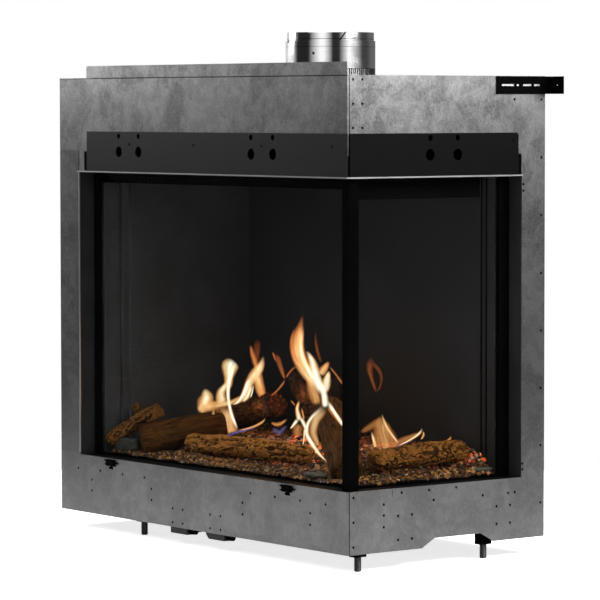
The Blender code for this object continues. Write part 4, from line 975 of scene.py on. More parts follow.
def set_drums(name: str, rows: Sequence[tuple[Vector, Vector]], radius: float, length: float, look: Looks,
              taper: float = 1.0, sides: int = 12) -> None:
    """Set short drums on places of the casing, each along its own direction, as one piece.

    Args:
        name: The piece's name.
        rows: Rows of foot and direction.
        radius: The drum's radius at its foot.
        length: The drum's length.
        look: The finish.
        taper: The top's share of the radius.
        sides: How many sides the drum has.
    """
    mesh = bpy.data.meshes.new(name)
    mesh.from_pydata([tuple(place) for place, way in rows], [], [])
    set_attribute(mesh, "way", [value for place, way in rows for value in way], vector=True)
    drums = link_object(name, mesh)
    run_tree(drums, drum_tree(), {"Radius": radius, "Length": length, "Taper": taper, "Sides": sides,
                                  "Finish": look.value.material()})
    finish_piece(drums, look)


# Sub-assemblies


@dataclass
class SheetMetal:
    """The casing's sheets with their small punched holes, and black drums behind the front and side holes as
    painted shade.
    """

    hole_radius: float = 0.0031
    thickness: float = 0.0015
    plug_length: float = 0.0016
    plug_overlap: float = 0.0004
    plug_share: float = 1.4
    plug_sides: int = 10
    reach: float = 0.012
    sides: int = 12
    front_lower: Sequence[Flat] = (
        (0.0715, 0.1019), (0.1635, 0.1026), (0.1279, 0.0792), (0.1277, 0.0536), (0.2015, 0.1129),
        (0.2130, 0.1124), (0.2546, 0.1023), (0.3429, 0.1022), (0.3707, 0.0789), (0.3705, 0.0532),
        (0.4536, 0.0418), (0.4925, 0.0422), (0.4534, 0.0106), (0.4924, 0.0107), (0.5976, 0.0418),
        (0.6369, 0.0417), (0.7194, 0.0793), (0.7193, 0.0536), (0.5974, 0.0106), (0.6367, 0.0109),
        (0.7482, 0.1026), (0.8373, 0.1026), (0.8753, 0.1134), (0.8893, 0.1132), (0.9272, 0.1030),
        (1.0161, 0.1028), (0.9627, 0.0791), (0.9627, 0.0539))
    side_columns: Sequence[tuple[float, Sequence[float]]] = (
        (0.0153, (1.0064, 0.9554, 0.9046)),
        (0.040, (1.0064, 0.9554, 0.9046)),
        (0.5435, (0.9648, 0.8377, 0.7106, 0.5830, 0.4561, 0.3289, 0.2024, 0.0752)))
    side: Sequence[Flat] = (
        (0.4648, 0.9647), (0.4913, 0.7795), (0.4913, 0.7653), (0.4906, 0.1650), (0.4906, 0.1521),
        (0.0162, 0.1223), (0.0162, 0.0695), (0.0162, 0.0165), (0.0989, 0.1025), (0.0989, 0.0793),
        (0.0989, 0.0538), (0.1479, 0.1247), (0.1380, 0.0753), (0.1764, 0.0757), (0.1380, 0.0237),
        (0.1765, 0.0237), (0.2243, 0.1250), (0.3003, 0.1255), (0.2372, 0.1028), (0.3759, 0.1028),
        (0.4492, 0.1029), (0.4686, 0.1033), (0.4157, 0.0757), (0.4548, 0.0758), (0.4158, 0.0372),
        (0.4549, 0.0369))
    slit: Four = (0.1206, 0.1222, 0.1176, 0.1317)
    back_columns: int = 6
    back_rows: int = 5
    back_margin: Flat = (0.03, 0.04)
    left_margins: Flat = (0.02, 0.0105)
    left_levels: Sequence[float] = (0.0752, 0.2024, 0.3289, 0.4561, 0.5830, 0.7106, 0.8377, 0.9648)

    def punches(self, places: Iterable[Vector], way: Vector) -> BMesh:
        """Return closed drums through a sheet at each place.

        Args:
            places: The holes' places on the sheet's face.
            way: The direction that the sheet faces.
        Returns:
            The drums, ready to cut with.
        """
        bm = bmesh.new()
        across = way.orthogonal().normalized()
        over = way.cross(across)
        turns = [math.tau * k / self.sides for k in range(self.sides)]
        rim = [(across * math.cos(turn) + over * math.sin(turn)) * self.hole_radius for turn in turns]
        for place in places:
            loft(bm, [[place + way * depth + edge for edge in rim] for depth in (-self.reach, self.reach)])
        return bm

    def punched(self, node: str, tool: BMesh, look: Looks) -> None:
        """Replace a sheet by a copy with the holes cut through it.

        Args:
            node: The CAD node's name.
            tool: The drums to cut with.
            look: The sheet's finish.
        """
        sheet = mesh_object(node + "_punched", clean_copy(node))
        cutter = mesh_object(node + "_cutter", tool)
        step = sheet.modifiers.new("holes", "BOOLEAN")
        step.operation = "DIFFERENCE"
        step.solver = "EXACT"
        step.object = cutter
        bake_modifiers(sheet)
        bpy.data.objects.remove(cutter, do_unlink=True)
        finish_piece(sheet, look, stands_for=[node])

    def shade_plugs(self, name: str, places: Iterable[Vector], way: Vector) -> None:
        """Close a sheet's holes from behind with black drums, painted shade so that they read as dark dots.

        Args:
            name: The new piece's name.
            places: The holes' places on the sheet's face.
            way: The direction that the sheet faces.
        """
        behind = self.thickness + self.plug_length - self.plug_overlap
        rows = [(place - way * behind, way) for place in places]
        set_drums(name, rows, self.hole_radius * self.plug_share, self.plug_length, Looks.BLACK,
                  sides=self.plug_sides)

    def build(self) -> None:
        """Cut the front, side, back and left sheets' holes, and put painted shade behind the front and side
        ones.
        """
        front = [CASING.at(x, 0, z) for x, z in self.front_lower]
        columns = [(y, z) for y, levels in self.side_columns for z in levels]
        side = [CASING.at(CASING.width, y, z) for y, z in (*columns, *self.side)]
        self.shade_plugs("front_hole_shade_plugs", front, Side.FRONT.normal)
        self.shade_plugs("side_hole_shade_plugs", side, Side.RIGHT.normal)
        self.punched("front_lower_panel", self.punches(front, Side.FRONT.normal), Looks.LOW_SHADE_SHEET)
        tool = self.punches(side, Side.RIGHT.normal)
        y0, y1, z0, z1 = self.slit
        ring = ((y0, z0), (y1, z0), (y1, z1), (y0, z1))
        loft(tool, [[CASING.at(x, y, z) for y, z in ring]
                    for x in (CASING.width - self.reach, CASING.width + self.reach)])
        self.punched("right_side_panel", tool, Looks.SIDE_SHADE_SHEET)
        inset, lift = self.back_margin
        wide, high = CASING.width - 2 * inset, CASING.height - 2 * lift
        back = []
        for i in range(self.back_columns + 1):
            for j in range(self.back_rows + 1):
                if i in (0, self.back_columns) or j in (0, self.back_rows):
                    x, z = inset + wide * i / self.back_columns, lift + high * j / self.back_rows
                    back.append(CASING.at(x, CASING.depth, z))
        self.punched("back_panel", self.punches(back, Side.BACK.normal), Looks.GALVANISED)
        near, far = self.left_margins
        left = [CASING.at(0, y, z) for y in (near, CASING.depth - far) for z in self.left_levels]
        self.punched("left_side_panel", self.punches(left, Side.LEFT.normal), Looks.GALVANISED)


@dataclass
class Fixings:
    """Screws and rivets on the rails, the brackets and the sheets, and the brackets' inner strips.

    Each strip holds its name, its lift off the bracket's inner face, half its height and its finish.
    """

    head_height: float = 0.0016
    bite: float = 0.0003
    rail_rivets: Sequence[float] = (0.290, 0.542, 0.794, 1.0425)
    rail_level: float = 0.864
    side_rivet: Flat = (0.459, 0.876)
    rivet_radius: float = 0.0024
    bracket_screws: Sequence[float] = (0.4647, 0.5145)
    bracket_level: float = 0.9968
    bracket_face: float = 0.0032
    bracket_screw_radius: float = 0.0034
    # The black backing strip stands for the shade inside each slot: painted shade.
    strips: Sequence[tuple[str, float, float, Looks]] = (
        ("shade_backing", 0.0004, 0.0075, Looks.BLACK), ("runner", 0.0014, 0.0020, Looks.TRIM))
    strip_thickness: float = 0.0008
    strip_start: float = 0.008
    strip_end: float = 0.006
    edge_gap: float = 0.0016
    edge_share: float = 0.8
    edge_front: float = 0.0004
    edge_back: float = 0.0006
    gland_radius: float = 0.0075
    gland_length: float = 0.020
    gland_inset: float = 0.012
    top_columns: int = 9
    top_rivet_radius: float = 0.0028
    top_margin: float = 0.04
    top_inset: float = 0.012
    flange_inset: float = 0.035
    flange_start: float = 0.10

    def build(self) -> None:
        """Set out the rows of fixings."""
        self.rails()
        self.brackets()
        # A thin black strip along the front panel's top edge: painted shadow in the gap before the upstand.
        low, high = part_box("front_upper_panel")
        foot = high.z - self.edge_gap
        head = foot + self.edge_gap * self.edge_share
        box_piece("front_panel_edge_shade_strip", Vector((low.x, low.y - self.edge_front, foot)),
                  Vector((high.x, low.y + self.edge_back, head)), Looks.BLACK)
        self.glands()
        rows = []
        for i in range(self.top_columns):
            x = self.top_margin + (CASING.width - 2 * self.top_margin) * i / (self.top_columns - 1)
            front = self.flange_inset if x > self.flange_start else self.top_inset
            for y in (front, CASING.depth - self.top_inset):
                rows.append((CASING.at(x, y, CASING.height - self.bite), Side.TOP.normal))
        set_drums("top_rivets", rows, self.top_rivet_radius, self.head_height, Looks.ZINC, 0.7)

    def rails(self) -> None:
        """Rivet the front and the side rail."""
        rail_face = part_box("front_fascia_rail")[0].y
        rows = []
        for x in self.rail_rivets:
            place = CASING.at(x, 0, self.rail_level)
            place.y = rail_face + self.bite
            rows.append((place, Side.FRONT.normal))
        place = CASING.at(0, *self.side_rivet)
        place.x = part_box("side_fascia_rail")[1].x - self.bite
        rows.append((place, Side.RIGHT.normal))
        set_drums("rail_rivets", rows, self.rivet_radius, self.head_height, Looks.BLACK, 0.75)

    def brackets(self) -> None:
        """Screw the wall brackets on and lay the strips behind their slots: a black one as painted shade and
        a bright runner.
        """
        sides = (("right_wall_bracket", "right_bracket", Side.RIGHT),
                 ("left_wall_bracket", "left_bracket", Side.LEFT))
        rows = []
        for y in self.bracket_screws:
            for name, body, side in sides:
                low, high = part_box(name)
                place = CASING.at(0, y, self.bracket_level)
                place.x = low.x + self.bracket_face if side is Side.RIGHT else high.x - self.bracket_face
                rows.append((place, side.normal))
        set_drums("bracket_screws", rows, self.bracket_screw_radius, self.head_height, Looks.BLACK, 0.8, 16)
        for name, body, side in sides:
            low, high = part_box(name)
            out = side.normal.x
            face = low.x if out > 0 else high.x
            middle = (low.z + high.z) / 2
            front, rear = low.y + self.strip_start, CASING.at(0, CASING.depth - self.strip_end, 0).y
            for part, lift, half, look in self.strips:
                edges = sorted((face + out * lift, face + out * (lift + self.strip_thickness)))
                box_piece(name + "_" + part, Vector((edges[0], front, middle - half)),
                          Vector((edges[1], rear, middle + half)), look, body)

    def glands(self) -> None:
        """Screw a cable gland into the end of each connection box."""
        rows = []
        for name in ("left_connection_box", "right_connection_box"):
            low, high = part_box(name)
            place = Vector((high.x - self.bite, low.y + self.gland_inset, low.z + self.gland_radius))
            rows.append((place, Side.RIGHT.normal))
        set_drums("cable_glands", rows, self.gland_radius, self.gland_length, Looks.BLACK, 0.8, 16)


@dataclass
class Flue:
    """The stepped outer collar with its screws and the painted shadow lines of its beads and lap seam, the
    pipe and the crimped base ring.

    Heights are measured from the casing's top. The seam holds the angle and height of its upper and lower
    end, and each screw its angle and height.
    """

    x: float = 0.574
    y: float = 0.360
    outer: float = 0.1025
    spigot: float = 0.0993
    wall: float = 0.0012
    foot: float = 0.0199
    lower_bead: float = 0.0689
    upper_bead: float = 0.0866
    step: float = 0.0824
    top: float = 0.1017
    rim: float = 0.0004
    bead_half: float = 0.0005
    lower_bead_share: float = 0.6
    bead_inside: float = 0.001
    bead_outside: float = 0.0002
    steps: int = 160
    crease: float = 14.0
    pipe_radius: float = 0.065
    pipe_flange: float = 0.014
    pipe_rim: float = 0.0006
    pipe_edge: float = 0.0005
    pipe_steps: int = 96
    seam: Four = (-18.0, 0.1012, -26.0, 0.0826)
    seam_width: float = 0.0036
    seam_inside: float = 0.0004
    seam_outside: float = 0.0005
    seam_pieces: int = 8
    screws: Sequence[Flat] = (
        (-60.0, 0.054), (-107.7, 0.081), (70.0, 0.054), (125.0, 0.054), (170.0, 0.054))
    screw_bite: float = 0.0002
    screw_radius: float = 0.0036
    screw_length: float = 0.0018
    crimps: int = 84
    crimp_steps: int = 6
    crimp_depth: float = 0.0012
    ring_wall: float = 0.004
    ring_edge: float = 0.001
    ribs: int = 120
    rib_width: float = 0.0022
    rib_inside: float = 0.0020
    rib_outside: float = 0.0003
    rib_gap: float = 0.0008
    rib_seed: int = 5

    def build(self) -> None:
        """Make the collar, the pipe, the screws, the seam, the crimped ring and the black bands at the
        beads, painted shadow lines.
        """
        place = CASING.at(self.x, self.y, CASING.height)
        bore = self.spigot - self.wall
        collar = [(bore, self.foot), (self.outer, self.foot), (self.outer, self.step),
                  (self.spigot, self.step), (self.spigot, self.top - self.rim),
                  (self.spigot - self.rim, self.top), (bore, self.top), (bore, self.step)]
        turned_piece("flue_collar_rolled", [collar] * self.steps, place, self.crease, Looks.STEEL,
                     ["flue_outer_collar"])
        self.pipe(place)
        rows = []
        for angle, level in self.screws:
            way = level_way(angle)
            reach = self.outer if level < self.step else self.spigot
            rows.append((place + way * (reach - self.screw_bite) + Vector((0, 0, level)), way))
        set_drums("flue_screws", rows, self.screw_radius, self.screw_length, Looks.RING_STEEL, 0.8, 16)
        self.lap_seam(place)
        self.ring(place)
        # Thin black bands at the beads: painted shadow lines of their grooves.
        lower_half = self.bead_half * self.lower_bead_share
        for name, radius, level, half in (("upper", self.spigot, self.upper_bead, self.bead_half),
                                          ("lower", self.outer, self.lower_bead, lower_half)):
            inside, outside = radius - self.bead_inside, radius + self.bead_outside
            bead = [(inside, level - half), (outside, level - half), (outside, level + half),
                    (inside, level + half)]
            turned_piece("flue_" + name + "_bead_shadow", [bead] * self.steps, place, self.crease, Looks.BLACK)

    def pipe(self, place: Vector) -> None:
        """Make the inner pipe with its foot flange.

        Args:
            place: The flue's axis on the casing's top.
        """
        low, high = (corner.z - place.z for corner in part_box("flue_inner_pipe"))
        radius, flange = self.pipe_radius, self.pipe_radius + self.pipe_flange
        bore = radius - self.wall
        section = [(bore, low), (flange, low), (flange, low + self.wall), (radius, low + self.wall),
                   (radius, high - self.pipe_rim), (radius - self.pipe_edge, high), (bore, high)]
        turned_piece("flue_pipe_rolled", [section] * self.pipe_steps, place, self.crease, Looks.STEEL,
                     ["flue_inner_pipe"])

    def lap_seam(self, place: Vector) -> None:
        """Lay the slanted edge where the spigot's sheet laps over itself, raised a little and black as its
        painted shadow line.

        Args:
            place: The flue's axis on the casing's top.
        """
        high_angle, high, low_angle, low = self.seam
        rings = []
        for i in range(self.seam_pieces + 1):
            share = i / self.seam_pieces
            out = level_way(low_angle + (high_angle - low_angle) * share)
            along = Vector((-out.y, out.x, 0)) * (self.seam_width / 2)
            lift = Vector((0, 0, low + (high - low) * share))
            inner = place + out * (self.spigot - self.seam_inside) + lift
            outer = place + out * (self.spigot + self.seam_outside) + lift
            rings.append([inner - along, inner + along, outer + along, outer - along])
        # Black: painted shadow along the lap's edge.
        lofted_piece("flue_lap_seam_shadow", [rings], Looks.BLACK)

    def ring(self, place: Vector) -> None:
        """Replace the base ring by one with crimps all round, and ribs coloured lighter as painted
        highlights.

        Args:
            place: The flue's axis on the casing's top.
        """
        low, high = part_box("flue_base_ring")
        radius = (high.x - low.x) / 2
        inner, bottom, top = radius - self.ring_wall, low.z - place.z, high.z - place.z
        count = self.crimps * self.crimp_steps
        sections = []
        for k in range(count):
            waist = radius - self.crimp_depth * abs(math.sin(math.pi * k * self.crimps / count)) ** 3
            sections.append(((inner, bottom), (radius, bottom), (waist, bottom + self.ring_edge),
                             (waist, top - self.ring_edge), (radius, top), (inner, top)))
        turned_piece("flue_base_ring_crimped", sections, place, 25, Looks.RING_STEEL, ["flue_base_ring"])
        source = random.Random(self.rib_seed)
        ribs = []
        for k in range(self.ribs):
            out = level_way(360 * (k + source.uniform(-0.3, 0.3)) / self.ribs)
            along = Vector((-out.y, out.x, 0)) * (self.rib_width * source.uniform(0.4, 1.0) / 2)
            near, far = place + out * (radius - self.rib_inside), place + out * (radius + self.rib_outside)
            ring = [near - along, near + along, far + along, far - along]
            ribs.append([[spot + Vector((0, 0, level)) for spot in ring]
                         for level in (bottom + self.rib_gap, top - self.rib_gap)])
        # The ribs take the lighter steel: painted highlights.
        lofted_piece("flue_base_ring_ribs", ribs, Looks.RIB_HIGHLIGHT_STEEL)


class Bark(Enum):
    """How a log's skin is broken up."""

    CREVICED = "creviced"
    FIBROUS = "fibrous"
    SCALED = "scaled"


def clamp(value: float) -> float:
    """Return a value held between 0 and 1."""
    return min(1.0, max(0.0, value))


def stretched(spot: Vector, across: float, along: float) -> Vector:
    """Return a place on a log's skin, scaled across and along the log."""
    return Vector((spot.x * across, spot.y * across, spot.z * along))


@dataclass(frozen=True)
class LogForm:
    """One ceramic log: its ends as shares of the casing, its radii and its skin.

    Each end holds its place across and into the casing, its height and its radius, all as shares.
    """

    node: str
    low: Four
    high: Four
    bow: float
    seed: int
    look: Looks
    ridge: float
    bark: Bark
    char: float = 0.0
    hot_end: float = 0.0
    knots: int = 3
    rounding: float = 0.15
    lumps: float = 0.0035

    FIRE_HEIGHT = 0.100
    FLOOR = 0.118
    RADIUS = 0.036
    SIDES = 112
    RINGS = 190
    WAVINESS = 0.035
    LUMP_SCALE = 28
    SKIN_LEVEL = 0.75
    DOME_SHARE = 0.8
    STEEPEST = 0.07
    KNOT_SPREAD = 0.34
    KNOT_HEIGHT = 0.0045
    KNOT_LIMIT = 2.2
    CHARRED_LENGTH = 0.022
    CHAR_SCALE = 16
    HOT_LENGTH = 0.030
    CAP_RINGS = 12
    CAP_HOLLOW = 0.0012
    CAP_RIPPLE = 0.0012
    GROWTH_RINGS = 34
    GROWTH_HEIGHT = 0.00035
    MARKS = ("relief", "char", "sawn", "firing")

    def end(self, shares: Four) -> tuple[Vector, float]:
        """Find an end's place and radius.

        Args:
            shares: The end's row.
        Returns:
            The place in the row frame and the radius.
        """
        x, y, level, radius = shares
        place = CASING.at(CASING.width * x, CASING.depth * y, self.FLOOR + self.FIRE_HEIGHT * level)
        return place, self.RADIUS * radius

    def build(self) -> None:
        """Model the log's skin, its furrows and its sawn ends."""
        source = random.Random(self.seed)
        phases = [source.uniform(0, math.tau) for _ in range(6)]
        start, radius_start = self.end(self.low)
        stop, radius_stop = self.end(self.high)
        axis = (stop - start).normalized()
        side = axis.cross(Vector((0, 0, 1)))
        side = side.normalized() if side.length > self.STEEPEST else Vector((1, 0, 0))
        over = side.cross(axis).normalized()
        length = (stop - start).length
        drift = Vector((source.uniform(0, 50), source.uniform(0, 50), source.uniform(0, 50)))
        knots = [(source.uniform(0.12, 0.88), source.uniform(0, math.tau), source.uniform(0.5, 1.0))
                 for _ in range(self.knots)]
        bm = bmesh.new()
        rows, marks = [], {name: [] for name in self.MARKS}
        for i in range(self.RINGS):
            t = i / (self.RINGS - 1)
            centre = start.lerp(stop, t) + over * (self.RADIUS * self.bow) * math.sin(math.pi * t)
            radius = radius_start + (radius_stop - radius_start) * t
            rim = min(t, 1 - t) * length
            dome = self.rounding * radius
            inward = max(0.0, 1 - rim / dome)
            round_off = dome * (1 - math.sqrt(max(0.0, 1 - inward ** 2))) * self.DOME_SHARE
            row = []
            for k in range(self.SIDES):
                angle = math.tau * k / self.SIDES
                wave = math.sin(3 * angle + phases[0] + 2 * t) + math.sin(5 * angle + phases[1] - 5 * t)
                wave += math.sin(2 * angle + phases[2]) * math.sin(math.tau * t + phases[3])
                spot = Vector((math.cos(angle) * radius, math.sin(angle) * radius, t * length))
                depth = self.skin(spot, drift)
                lump = noise.noise(spot * self.LUMP_SCALE + drift) * self.lumps
                for place, turn, size in knots:
                    off = math.atan2(math.sin(angle - turn), math.cos(angle - turn)) * radius
                    far = math.hypot(off, (t - place) * length) / (radius * self.KNOT_SPREAD * size)
                    if far < self.KNOT_LIMIT:
                        lump += self.KNOT_HEIGHT * size * math.exp(-far * far * 1.6)
                        depth = max(0.0, depth - 0.7 * math.exp(-far * far * 9))
                reach = radius * (1 + self.WAVINESS * wave) + lump
                reach += self.ridge * (depth - self.SKIN_LEVEL) - round_off
                row.append(bm.verts.new(centre + (side * math.cos(angle) + over * math.sin(angle)) * reach))
                self.note(marks, depth, self.burn(spot, drift, rim), 0.0,
                          self.hot_end * max(0.0, 1 - (1 - t) * length / self.HOT_LENGTH))
            rows.append(row)
        for low, high in zip(rows, rows[1:]):
            bridge(bm, low, high)
        self.cap(bm, rows[0], -axis, 0.0, drift, marks)
        self.cap(bm, rows[-1], axis, self.hot_end, drift, marks)
        bmesh.ops.recalc_face_normals(bm, faces=bm.faces)
        log = mesh_object(self.node + "_bark", bm, angle=70)
        for name, values in marks.items():
            set_attribute(log.data, name, values)
        finish_piece(log, self.look, stands_for=[self.node] if self.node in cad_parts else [])

    @staticmethod
    def note(marks: dict[str, list[float]], *values: float) -> None:
        """Add one vertex's relief, char, sawn and firing values to the lists."""
        for kept, value in zip(marks.values(), values):
            kept.append(value)

    def burn(self, spot: Vector, drift: Vector, rim: float) -> float:
        """Return how charred the skin is.

        Args:
            spot: The place on the skin, with the log's length along Z.
            drift: The noise's offset.
            rim: The distance from the nearer end.
        Returns:
            The charring, from 0 to 1.
        """
        if not self.char:
            return 0.0
        patch = noise.noise(spot * self.CHAR_SCALE + drift * 2)
        return clamp(self.char + 0.9 * max(0.0, 1 - rim / self.CHARRED_LENGTH) + 0.8 * (patch - 0.25))

    def skin(self, spot: Vector, drift: Vector) -> float:
        """Return the bark's relief from 0 in a crevice to 1 on a ridge.

        Args:
            spot: The place on the skin, with the log's length along Z.
            drift: The noise's offset.
        Returns:
            The relief.
        """
        warp = noise.noise(spot * 55 + drift) * 1.2
        bend = Vector((warp, warp, warp))
        if self.bark is Bark.FIBROUS:
            fibre = noise.noise(stretched(spot, across=190, along=24) + drift + bend * 0.6)
            strand = noise.noise(stretched(spot, across=430, along=60) + drift * 3)
            return clamp(0.62 + 0.55 * fibre + 0.38 * strand)
        if self.bark is Bark.SCALED:
            cell = noise.voronoi(stretched(spot, across=95, along=70) + drift + bend * 0.5)[0]
            crack = min(1.0, (cell[1] - cell[0]) * 3.6)
            return clamp(0.95 * crack ** 0.6 + 0.25 * noise.noise(spot * 420 + drift))
        course = noise.noise(stretched(spot, across=66, along=11) + drift + bend * 0.7)
        check = noise.noise(stretched(spot, across=60, along=52) + drift * 2)
        crevice = 1 - min(1.0, abs(course) * 4.2)
        side_crack = 1 - min(1.0, abs(check) * 7.0)
        crumb = noise.noise(stretched(spot, across=300, along=170) + drift * 3)
        fine = noise.noise(spot * 620 + drift)
        return clamp(0.84 - 0.92 * crevice ** 1.5 - 0.30 * side_crack ** 2 + 0.36 * crumb + 0.20 * fine)

    def cap(self, bm: BMesh, rim: list[BMVert], way: Vector, heat: float, drift: Vector,
            marks: dict[str, list[float]]) -> None:
        """Close an end with growth rings and a shallow hollow.

        Args:
            bm: The log's mesh.
            rim: The end's ring of vertices.
            way: The outward direction.
            heat: How hot the end glows.
            drift: The noise's offset.
            marks: The lists of attribute values, which grow with the vertices.
        """
        centre = sum((vert.co for vert in rim), Vector()) / len(rim)
        last = rim
        for j in range(1, self.CAP_RINGS):
            share = 1 - j / self.CAP_RINGS
            row = []
            for vert in rim:
                flat = centre + (vert.co - centre) * share
                growth = math.sin(share * self.GROWTH_RINGS)
                ripple = noise.noise(flat * 130 + drift) * self.CAP_RIPPLE + growth * self.GROWTH_HEIGHT
                row.append(bm.verts.new(flat + way * (ripple - self.CAP_HOLLOW * (1 - share))))
                self.note(marks, 0.55 + 0.35 * growth + 0.3 * noise.noise(flat * 300), self.char, 1.0, heat)
            bridge(bm, last, row)
            last = row
        middle = bm.verts.new(centre - way * self.CAP_HOLLOW)
        self.note(marks, 0.4, self.char, 1.0, heat)
        for k in range(len(last)):
            bm.faces.new((last[k], last[(k + 1) % len(last)], middle))


@dataclass
class LogSet:
    """The eight ceramic logs and the slender one's side branch."""

    forms: Sequence[LogForm] = (
        LogForm("log_front", (0.2700, 0.2870, 0.490, 0.670), (0.6450, 0.3610, 0.500, 0.600), 0.11, 11,
                Looks.BARK, 0.0058, Bark.CREVICED, knots=5, rounding=0.75),
        LogForm("log_large", (0.1850, 0.1640, 0.515, 1.000), (0.2650, 0.4838, 0.880, 0.920), 0.08, 12,
                Looks.SMOOTH_WOOD, 0.0022, Bark.FIBROUS, knots=2, rounding=0.25),
        LogForm("log_slender", (0.1060, 0.1080, 0.480, 0.470), (0.2050, 0.2330, 1.240, 0.520), 0.08, 13,
                Looks.DULL_BARK, 0.0034, Bark.CREVICED, knots=2, lumps=0.002),
        LogForm("log_slender_stub", (0.1700, 0.1900, 0.990, 0.340), (0.1270, 0.2180, 1.270, 0.330), 0.02, 19,
                Looks.DULL_BARK, 0.0026, Bark.CREVICED, knots=1, lumps=0.001),
        LogForm("log_charred", (0.2217, 0.6047, 0.970, 0.810), (0.3921, 0.5704, 1.420, 0.830), 0.06, 14,
                Looks.CHARRED_WOOD, 0.0036, Bark.SCALED, char=0.35, hot_end=1.0),
        LogForm("log_tall", (0.5940, 0.5090, 0.780, 0.750), (0.4335, 0.6137, 2.110, 0.700), 0.11, 15,
                Looks.DARK_WOOD, 0.0040, Bark.CREVICED, char=0.25, knots=4, rounding=0.4),
        LogForm("log_rear", (0.6480, 0.5650, 0.750, 0.720), (0.5966, 0.5686, 2.140, 0.670), 0.08, 16,
                Looks.SHADED_WOOD, 0.0030, Bark.FIBROUS, char=0.3, rounding=0.3),
        LogForm("log_leaning", (0.8720, 0.2010, 0.390, 1.030), (0.6985, 0.3700, 1.620, 0.970), 0.11, 17,
                Looks.SMOOTH_WOOD, 0.0026, Bark.FIBROUS, rounding=0.35),
        LogForm("log_side", (0.8590, 0.3340, 0.545, 0.710), (0.8898, 0.7760, 0.700, 0.650), 0.11, 18,
                Looks.SIDE_BARK, 0.0058, Bark.CREVICED, knots=5, rounding=0.75),
    )

    def build(self) -> None:
        """Model every log."""
        for form in self.forms:
            form.build()


@dataclass(frozen=True)
class Mound:
    """One heap of crushed ceramic on the bed, as a low dome."""

    place: Place
    spread: Flat
    height: float

    def lift(self, x: float, y: float) -> float:
        """Return the heap's top over the casing's lower edge at a place, or minus one outside it."""
        far = ((x - self.place[0]) / self.spread[0]) ** 2 + ((y - self.place[1]) / self.spread[1]) ** 2
        return self.place[2] + self.height * (1 - far) if far < 1 else -1.0


@dataclass
class EmberBed:
    """The bed with its heaps and its strewn granules.

    Each warm spot holds its place across and into the casing, its size and its share of the heat.
    """

    density: float = 15000.0
    radius: float = 0.0052
    hot_share: float = 0.24
    columns: int = 110
    rows: int = 54
    floor: float = 0.125
    look_down: float = 0.4
    crust_lift: float = 0.0004
    warm_spots: Sequence[Four] = (
        (0.56, 0.30, 0.10, 1.0), (0.69, 0.225, 0.045, 1.1), (0.90, 0.41, 0.05, 0.9),
        (0.995, 0.45, 0.03, 0.8), (0.78, 0.32, 0.08, 0.5))
    mounds: Sequence[Mound] = (
        Mound((0.53, 0.285, 0.140), (0.150, 0.060), 0.044),
        Mound((0.905, 0.410, 0.140), (0.075, 0.070), 0.050),
        Mound((0.36, 0.110, 0.138), (0.160, 0.045), 0.012),
        Mound((0.985, 0.450, 0.136), (0.030, 0.035), 0.022),
        Mound((0.840, 0.150, 0.136), (0.090, 0.040), 0.014),
    )

    def top(self, tree: BVHTree, x: float, y: float) -> float | None:
        """Find the bed's top, heaps and all.

        Args:
            tree: The solid bed, ready for rays.
            x: The place across the casing.
            y: The place into the casing.
        Returns:
            The height over the casing's lower edge, or None off the bed.
        """
        hit = tree.ray_cast(CASING.at(x, y, self.look_down), Vector((0, 0, -1)))[0]
        if hit is None or hit.z - CASING.low < self.floor:
            return None
        return max([hit.z - CASING.low, *(mound.lift(x, y) for mound in self.mounds)])

    def build(self) -> None:
        """Heap the mounds and strew granules over the bed's top."""
        tree = BVHTree.FromObject(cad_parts["ember_bed"], bpy.context.evaluated_depsgraph_get())
        low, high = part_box("ember_bed")
        surface = bmesh.new()
        grid, warmth = {}, []
        for i in range(self.columns + 1):
            x = low.x - CASING.left + (high.x - low.x) * i / self.columns
            for j in range(self.rows + 1):
                y = low.y - CASING.front + (high.y - low.y) * j / self.rows
                level = self.top(tree, x, y)
                if level is not None:
                    grid[i, j] = surface.verts.new(CASING.at(x, y, level))
                    warmth.append(min(1.0, sum(
                        share * math.exp(-((x - u) / size) ** 2 - ((y - v) / size) ** 2)
                        for u, v, size, share in self.warm_spots)))
        for i, j in list(grid):
            corners = [grid.get(key) for key in ((i, j), (i + 1, j), (i + 1, j + 1), (i, j + 1))]
            if all(corners):
                surface.faces.new(corners)
        top = surface.copy()
        bed = mesh_object("bed_granules", surface)
        set_attribute(bed.data, "warmth", warmth)
        run_tree(bed, scatter_tree(), {
            "Density": self.density, "Radius": self.radius, "Hot Share": self.hot_share,
            "Finish": Looks.GRANULES.value.material()})
        finish_piece(bed, Looks.GRANULES)
        self.crust(top)

    def crust(self, top: BMesh) -> None:
        """Give the heaped top a thickness, so that nothing shows under its granules.

        Args:
            top: The heaped top's mesh.
        """
        bmesh.ops.translate(top, verts=top.verts, vec=(0, 0, self.crust_lift))
        shell = bmesh.ops.extrude_face_region(top, geom=list(top.faces))
        for item in shell["geom"]:
            if isinstance(item, BMVert):
                item.co.z = CASING.low + self.floor
        bmesh.ops.recalc_face_normals(top, faces=top.faces)
        finish_piece(mesh_object("bed_crust", top, angle=60), Looks.ASH)


